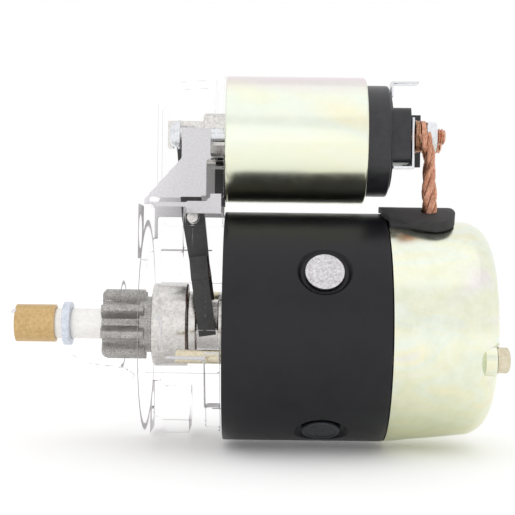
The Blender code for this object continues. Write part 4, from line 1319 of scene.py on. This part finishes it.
def lead_grommet():
    """Rubber flap lying on the cover, wide and round at the rear, and the neck below it."""
    edge = smooth_route([(x, angle, 0) for x, angle in FLAP_EDGE], 1.2)
    centre = Vector((101.0, 76.0, 0))
    bm = bmesh.new()
    sheets = []
    for outer in (False, True):
        rows = []
        for share in (0.0, 0.25, 0.5, 0.75, 0.9, 1.0):
            row = []
            for point in edge:
                x, angle = (centre + (point - centre) * share).xy
                lift = 0.45 * max(0.0, (share - 0.6) / 0.4) * max(0.0, (68 - angle) / 10)
                floor = YOKE_RADIUS + 0.4 - 0.085 * max(0.0, x - 88.6)
                radius = 44.95 + lift if outer else floor
                row.append(bm.verts.new(angle_point(angle, radius, x)))
            rows.append(row)
        sheets.append(rows)
    count = len(edge)
    for rows in sheets:
        for one, two in zip(rows[1:], rows[2:]):
            for i in range(count):
                k = (i + 1) % count
                bm.faces.new((one[i], one[k], two[k], two[i]))
        hub = rows[0][0]
        for i in range(count):
            bm.faces.new((hub, rows[1][i], rows[1][(i + 1) % count]))
        bmesh.ops.delete(bm, geom=rows[0][1:], context="VERTS")
    for i in range(count):
        k = (i + 1) % count
        bm.faces.new((sheets[0][-1][i], sheets[0][-1][k], sheets[1][-1][k], sheets[1][-1][i]))
    neck = sector((88.4, 106.0), (36.5, 43.5), (60.7, 79.3), 12)
    hole = rod((103.6, -14.6, 52.0), (102.6, -11.0, 33.0), 2.9)
    bm = combined(outward(bm), [("UNION", neck), ("DIFFERENCE", hole)])
    bm = softened(bm, 0.55, 3, 45)
    piece("lead_flap", bm, "root", LOOKS["rubber"], ["lead_grommet"])


# ---------------------------------------------------------------- carried-over CAD nodes

NODE_LOOKS = {
    "nose_bush": "bush_bronze",
    "rear_bush": "bush_bronze",
    "lever_pin": "machined_steel",
    "lever_seal": "rubber",
    "armature_core": "laminations",
    "armature_winding_front": "varnished_winding",
    "armature_winding_rear": "varnished_winding",
    "commutator": "copper",
    "shift_lever": "lever_nylon",
    "brush_plate": "lever_nylon",
    "solenoid_coil": "varnished_winding",
    "solenoid_core": "laminations",
    "plunger": "machined_steel",
    "return_spring": "spring_steel",
    "moving_contact": "copper",
    "cap_gasket": "rubber",
}
NUMBERED_LOOKS = {
    "pole_shoe_": "laminations",
    "field_coil_": "varnished_winding",
    "brush_spring_": "spring_steel",
    "brush_": "brush_carbon",
}


def dress_nodes():
    for name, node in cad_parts.items():
        slot = NODE_LOOKS.get(name)
        if slot is None:
            found = [look for start, look in NUMBERED_LOOKS.items() if name.startswith(start)]
            slot = found[0] if found else None
        if slot is None:
            continue
        if not node.material_slots:
            node.data.materials.append(LOOKS[slot])
        for material_slot in node.material_slots:
            material_slot.material = LOOKS[slot]


# ---------------------------------------------------------------- camera, light and floor

FLOOR_Z = -44.6
LENS = 1227 * 36 / 515


def stage():
    floor = bpy.data.meshes.new("floor")
    bm = bmesh.new()
    bmesh.ops.create_circle(bm, cap_ends=True, segments=64, radius=6.0)
    bmesh.ops.translate(bm, vec=(0, 0, FLOOR_Z * MM), verts=bm.verts)
    bm.to_mesh(floor)
    bm.free()
    white = (0.97, 0.97, 0.97, 1.0)
    look = Look("floor_look", Metallic=0.0, Roughness=0.95, Base_Color=white, Emission_Color=white, Emission_Strength=0.10)
    floor.materials.append(look.material)
    obj = bpy.data.objects.new("floor", floor)
    bpy.context.scene.collection.objects.link(obj)


def area_light(name, place, target, size, power, colour=(1, 1, 1)):
    data = bpy.data.lights.new(name, "AREA")
    data.shape = "DISK"
    data.size = size
    data.energy = power
    data.color = colour
    obj = bpy.data.objects.new(name, data)
    obj.location = place
    aim = Vector(target) - Vector(place)
    obj.rotation_euler = aim.to_track_quat("-Z", "Y").to_euler()
    bpy.context.scene.collection.objects.link(obj)


def lights():
    world = bpy.data.worlds.new("studio")
    world.use_nodes = True
    background = world.node_tree.nodes["Background"]
    background.inputs["Color"].default_value = (1.0, 1.0, 1.0, 1.0)
    background.inputs["Strength"].default_value = 1.0
    bpy.context.scene.world = world
    centre = (0.035, 0.0, 0.02)
    area_light("light_top", (0.03, -0.25, 0.95), centre, 1.4, 0.7)
    area_light("light_low", (-0.10, -1.1, 0.10), (-0.02, -0.1, -0.01), 0.8, 0.3)
    view = bpy.context.scene.view_settings
    view.view_transform = "Standard"
    view.look = "None"
    view.exposure = 0.0


def camera():
    data = bpy.data.cameras.new("camera")
    data.lens = LENS
    data.sensor_width = 36
    data.shift_x = (257.5 - 256) / 515
    data.clip_end = 30
    obj = bpy.data.objects.new("camera", data)
    place = Matrix.Translation((0.0405, -0.460, 0.0255))
    obj.matrix_world = place @ Matrix.Rotation(radians(90), 4, "X") @ Matrix.Rotation(0.0122, 4, "Z")
    bpy.context.scene.collection.objects.link(obj)
    bpy.context.scene.camera = obj


def main():
    LOOKS["bolt"] = brushed("bolt_look", (0.62, 0.55, 0.40), (0.76, 0.70, 0.54), 0.28)
    LOOKS["brassy"] = brushed("brassy_look", (0.36, 0.17, 0.09), (0.62, 0.36, 0.22), 0.28)
    # Painted light: ground shaft steel made brighter and less metallic, standing in for the light on the shaft's
    # lower half.
    LOOKS["ground_steel"] = brushed("ground_steel_look", (0.84, 0.82, 0.79), (0.96, 0.94, 0.91), 0.42, 0.65)
    LOOKS["staked_steel"] = brushed("staked_steel_look", (0.42, 0.40, 0.42), (0.80, 0.78, 0.80), 0.34, size=0.9)
    # Painted shade: near-black screw steel for the lower pole screws, standing in for the shade below the motor.
    LOOKS["dull_steel"] = brushed("dull_steel_look", (0.035, 0.038, 0.045), (0.07, 0.075, 0.085), 0.34, 0.7)
    # Painted light: brightened, blue-tinted steel for the stop collar, standing in for its blue highlight and the
    # light it lacks in shade.
    LOOKS["collar_steel"] = brushed("collar_steel_look", (0.58, 0.62, 0.70), (0.80, 0.84, 0.92), 0.45, 0.7)
    LOOKS["rope"] = copper_look("rope_look", (1.0, 1.0, 0.45))
    camera()
    lights()
    stage()
    dress_nodes()
    drive_housing()
    pinion()
    shaft_parts()
    yoke()
    rear_cover()
    for number, angle in enumerate(BOLT_ANGLES, 1):
        through_bolt(number, angle)
    solenoid_case()
    terminal_cap()
    studs()
    strips()
    solenoid_screw("near", -SCREW_Y)
    solenoid_screw("far", SCREW_Y)
    motor_lead()
    lead_grommet()


main()
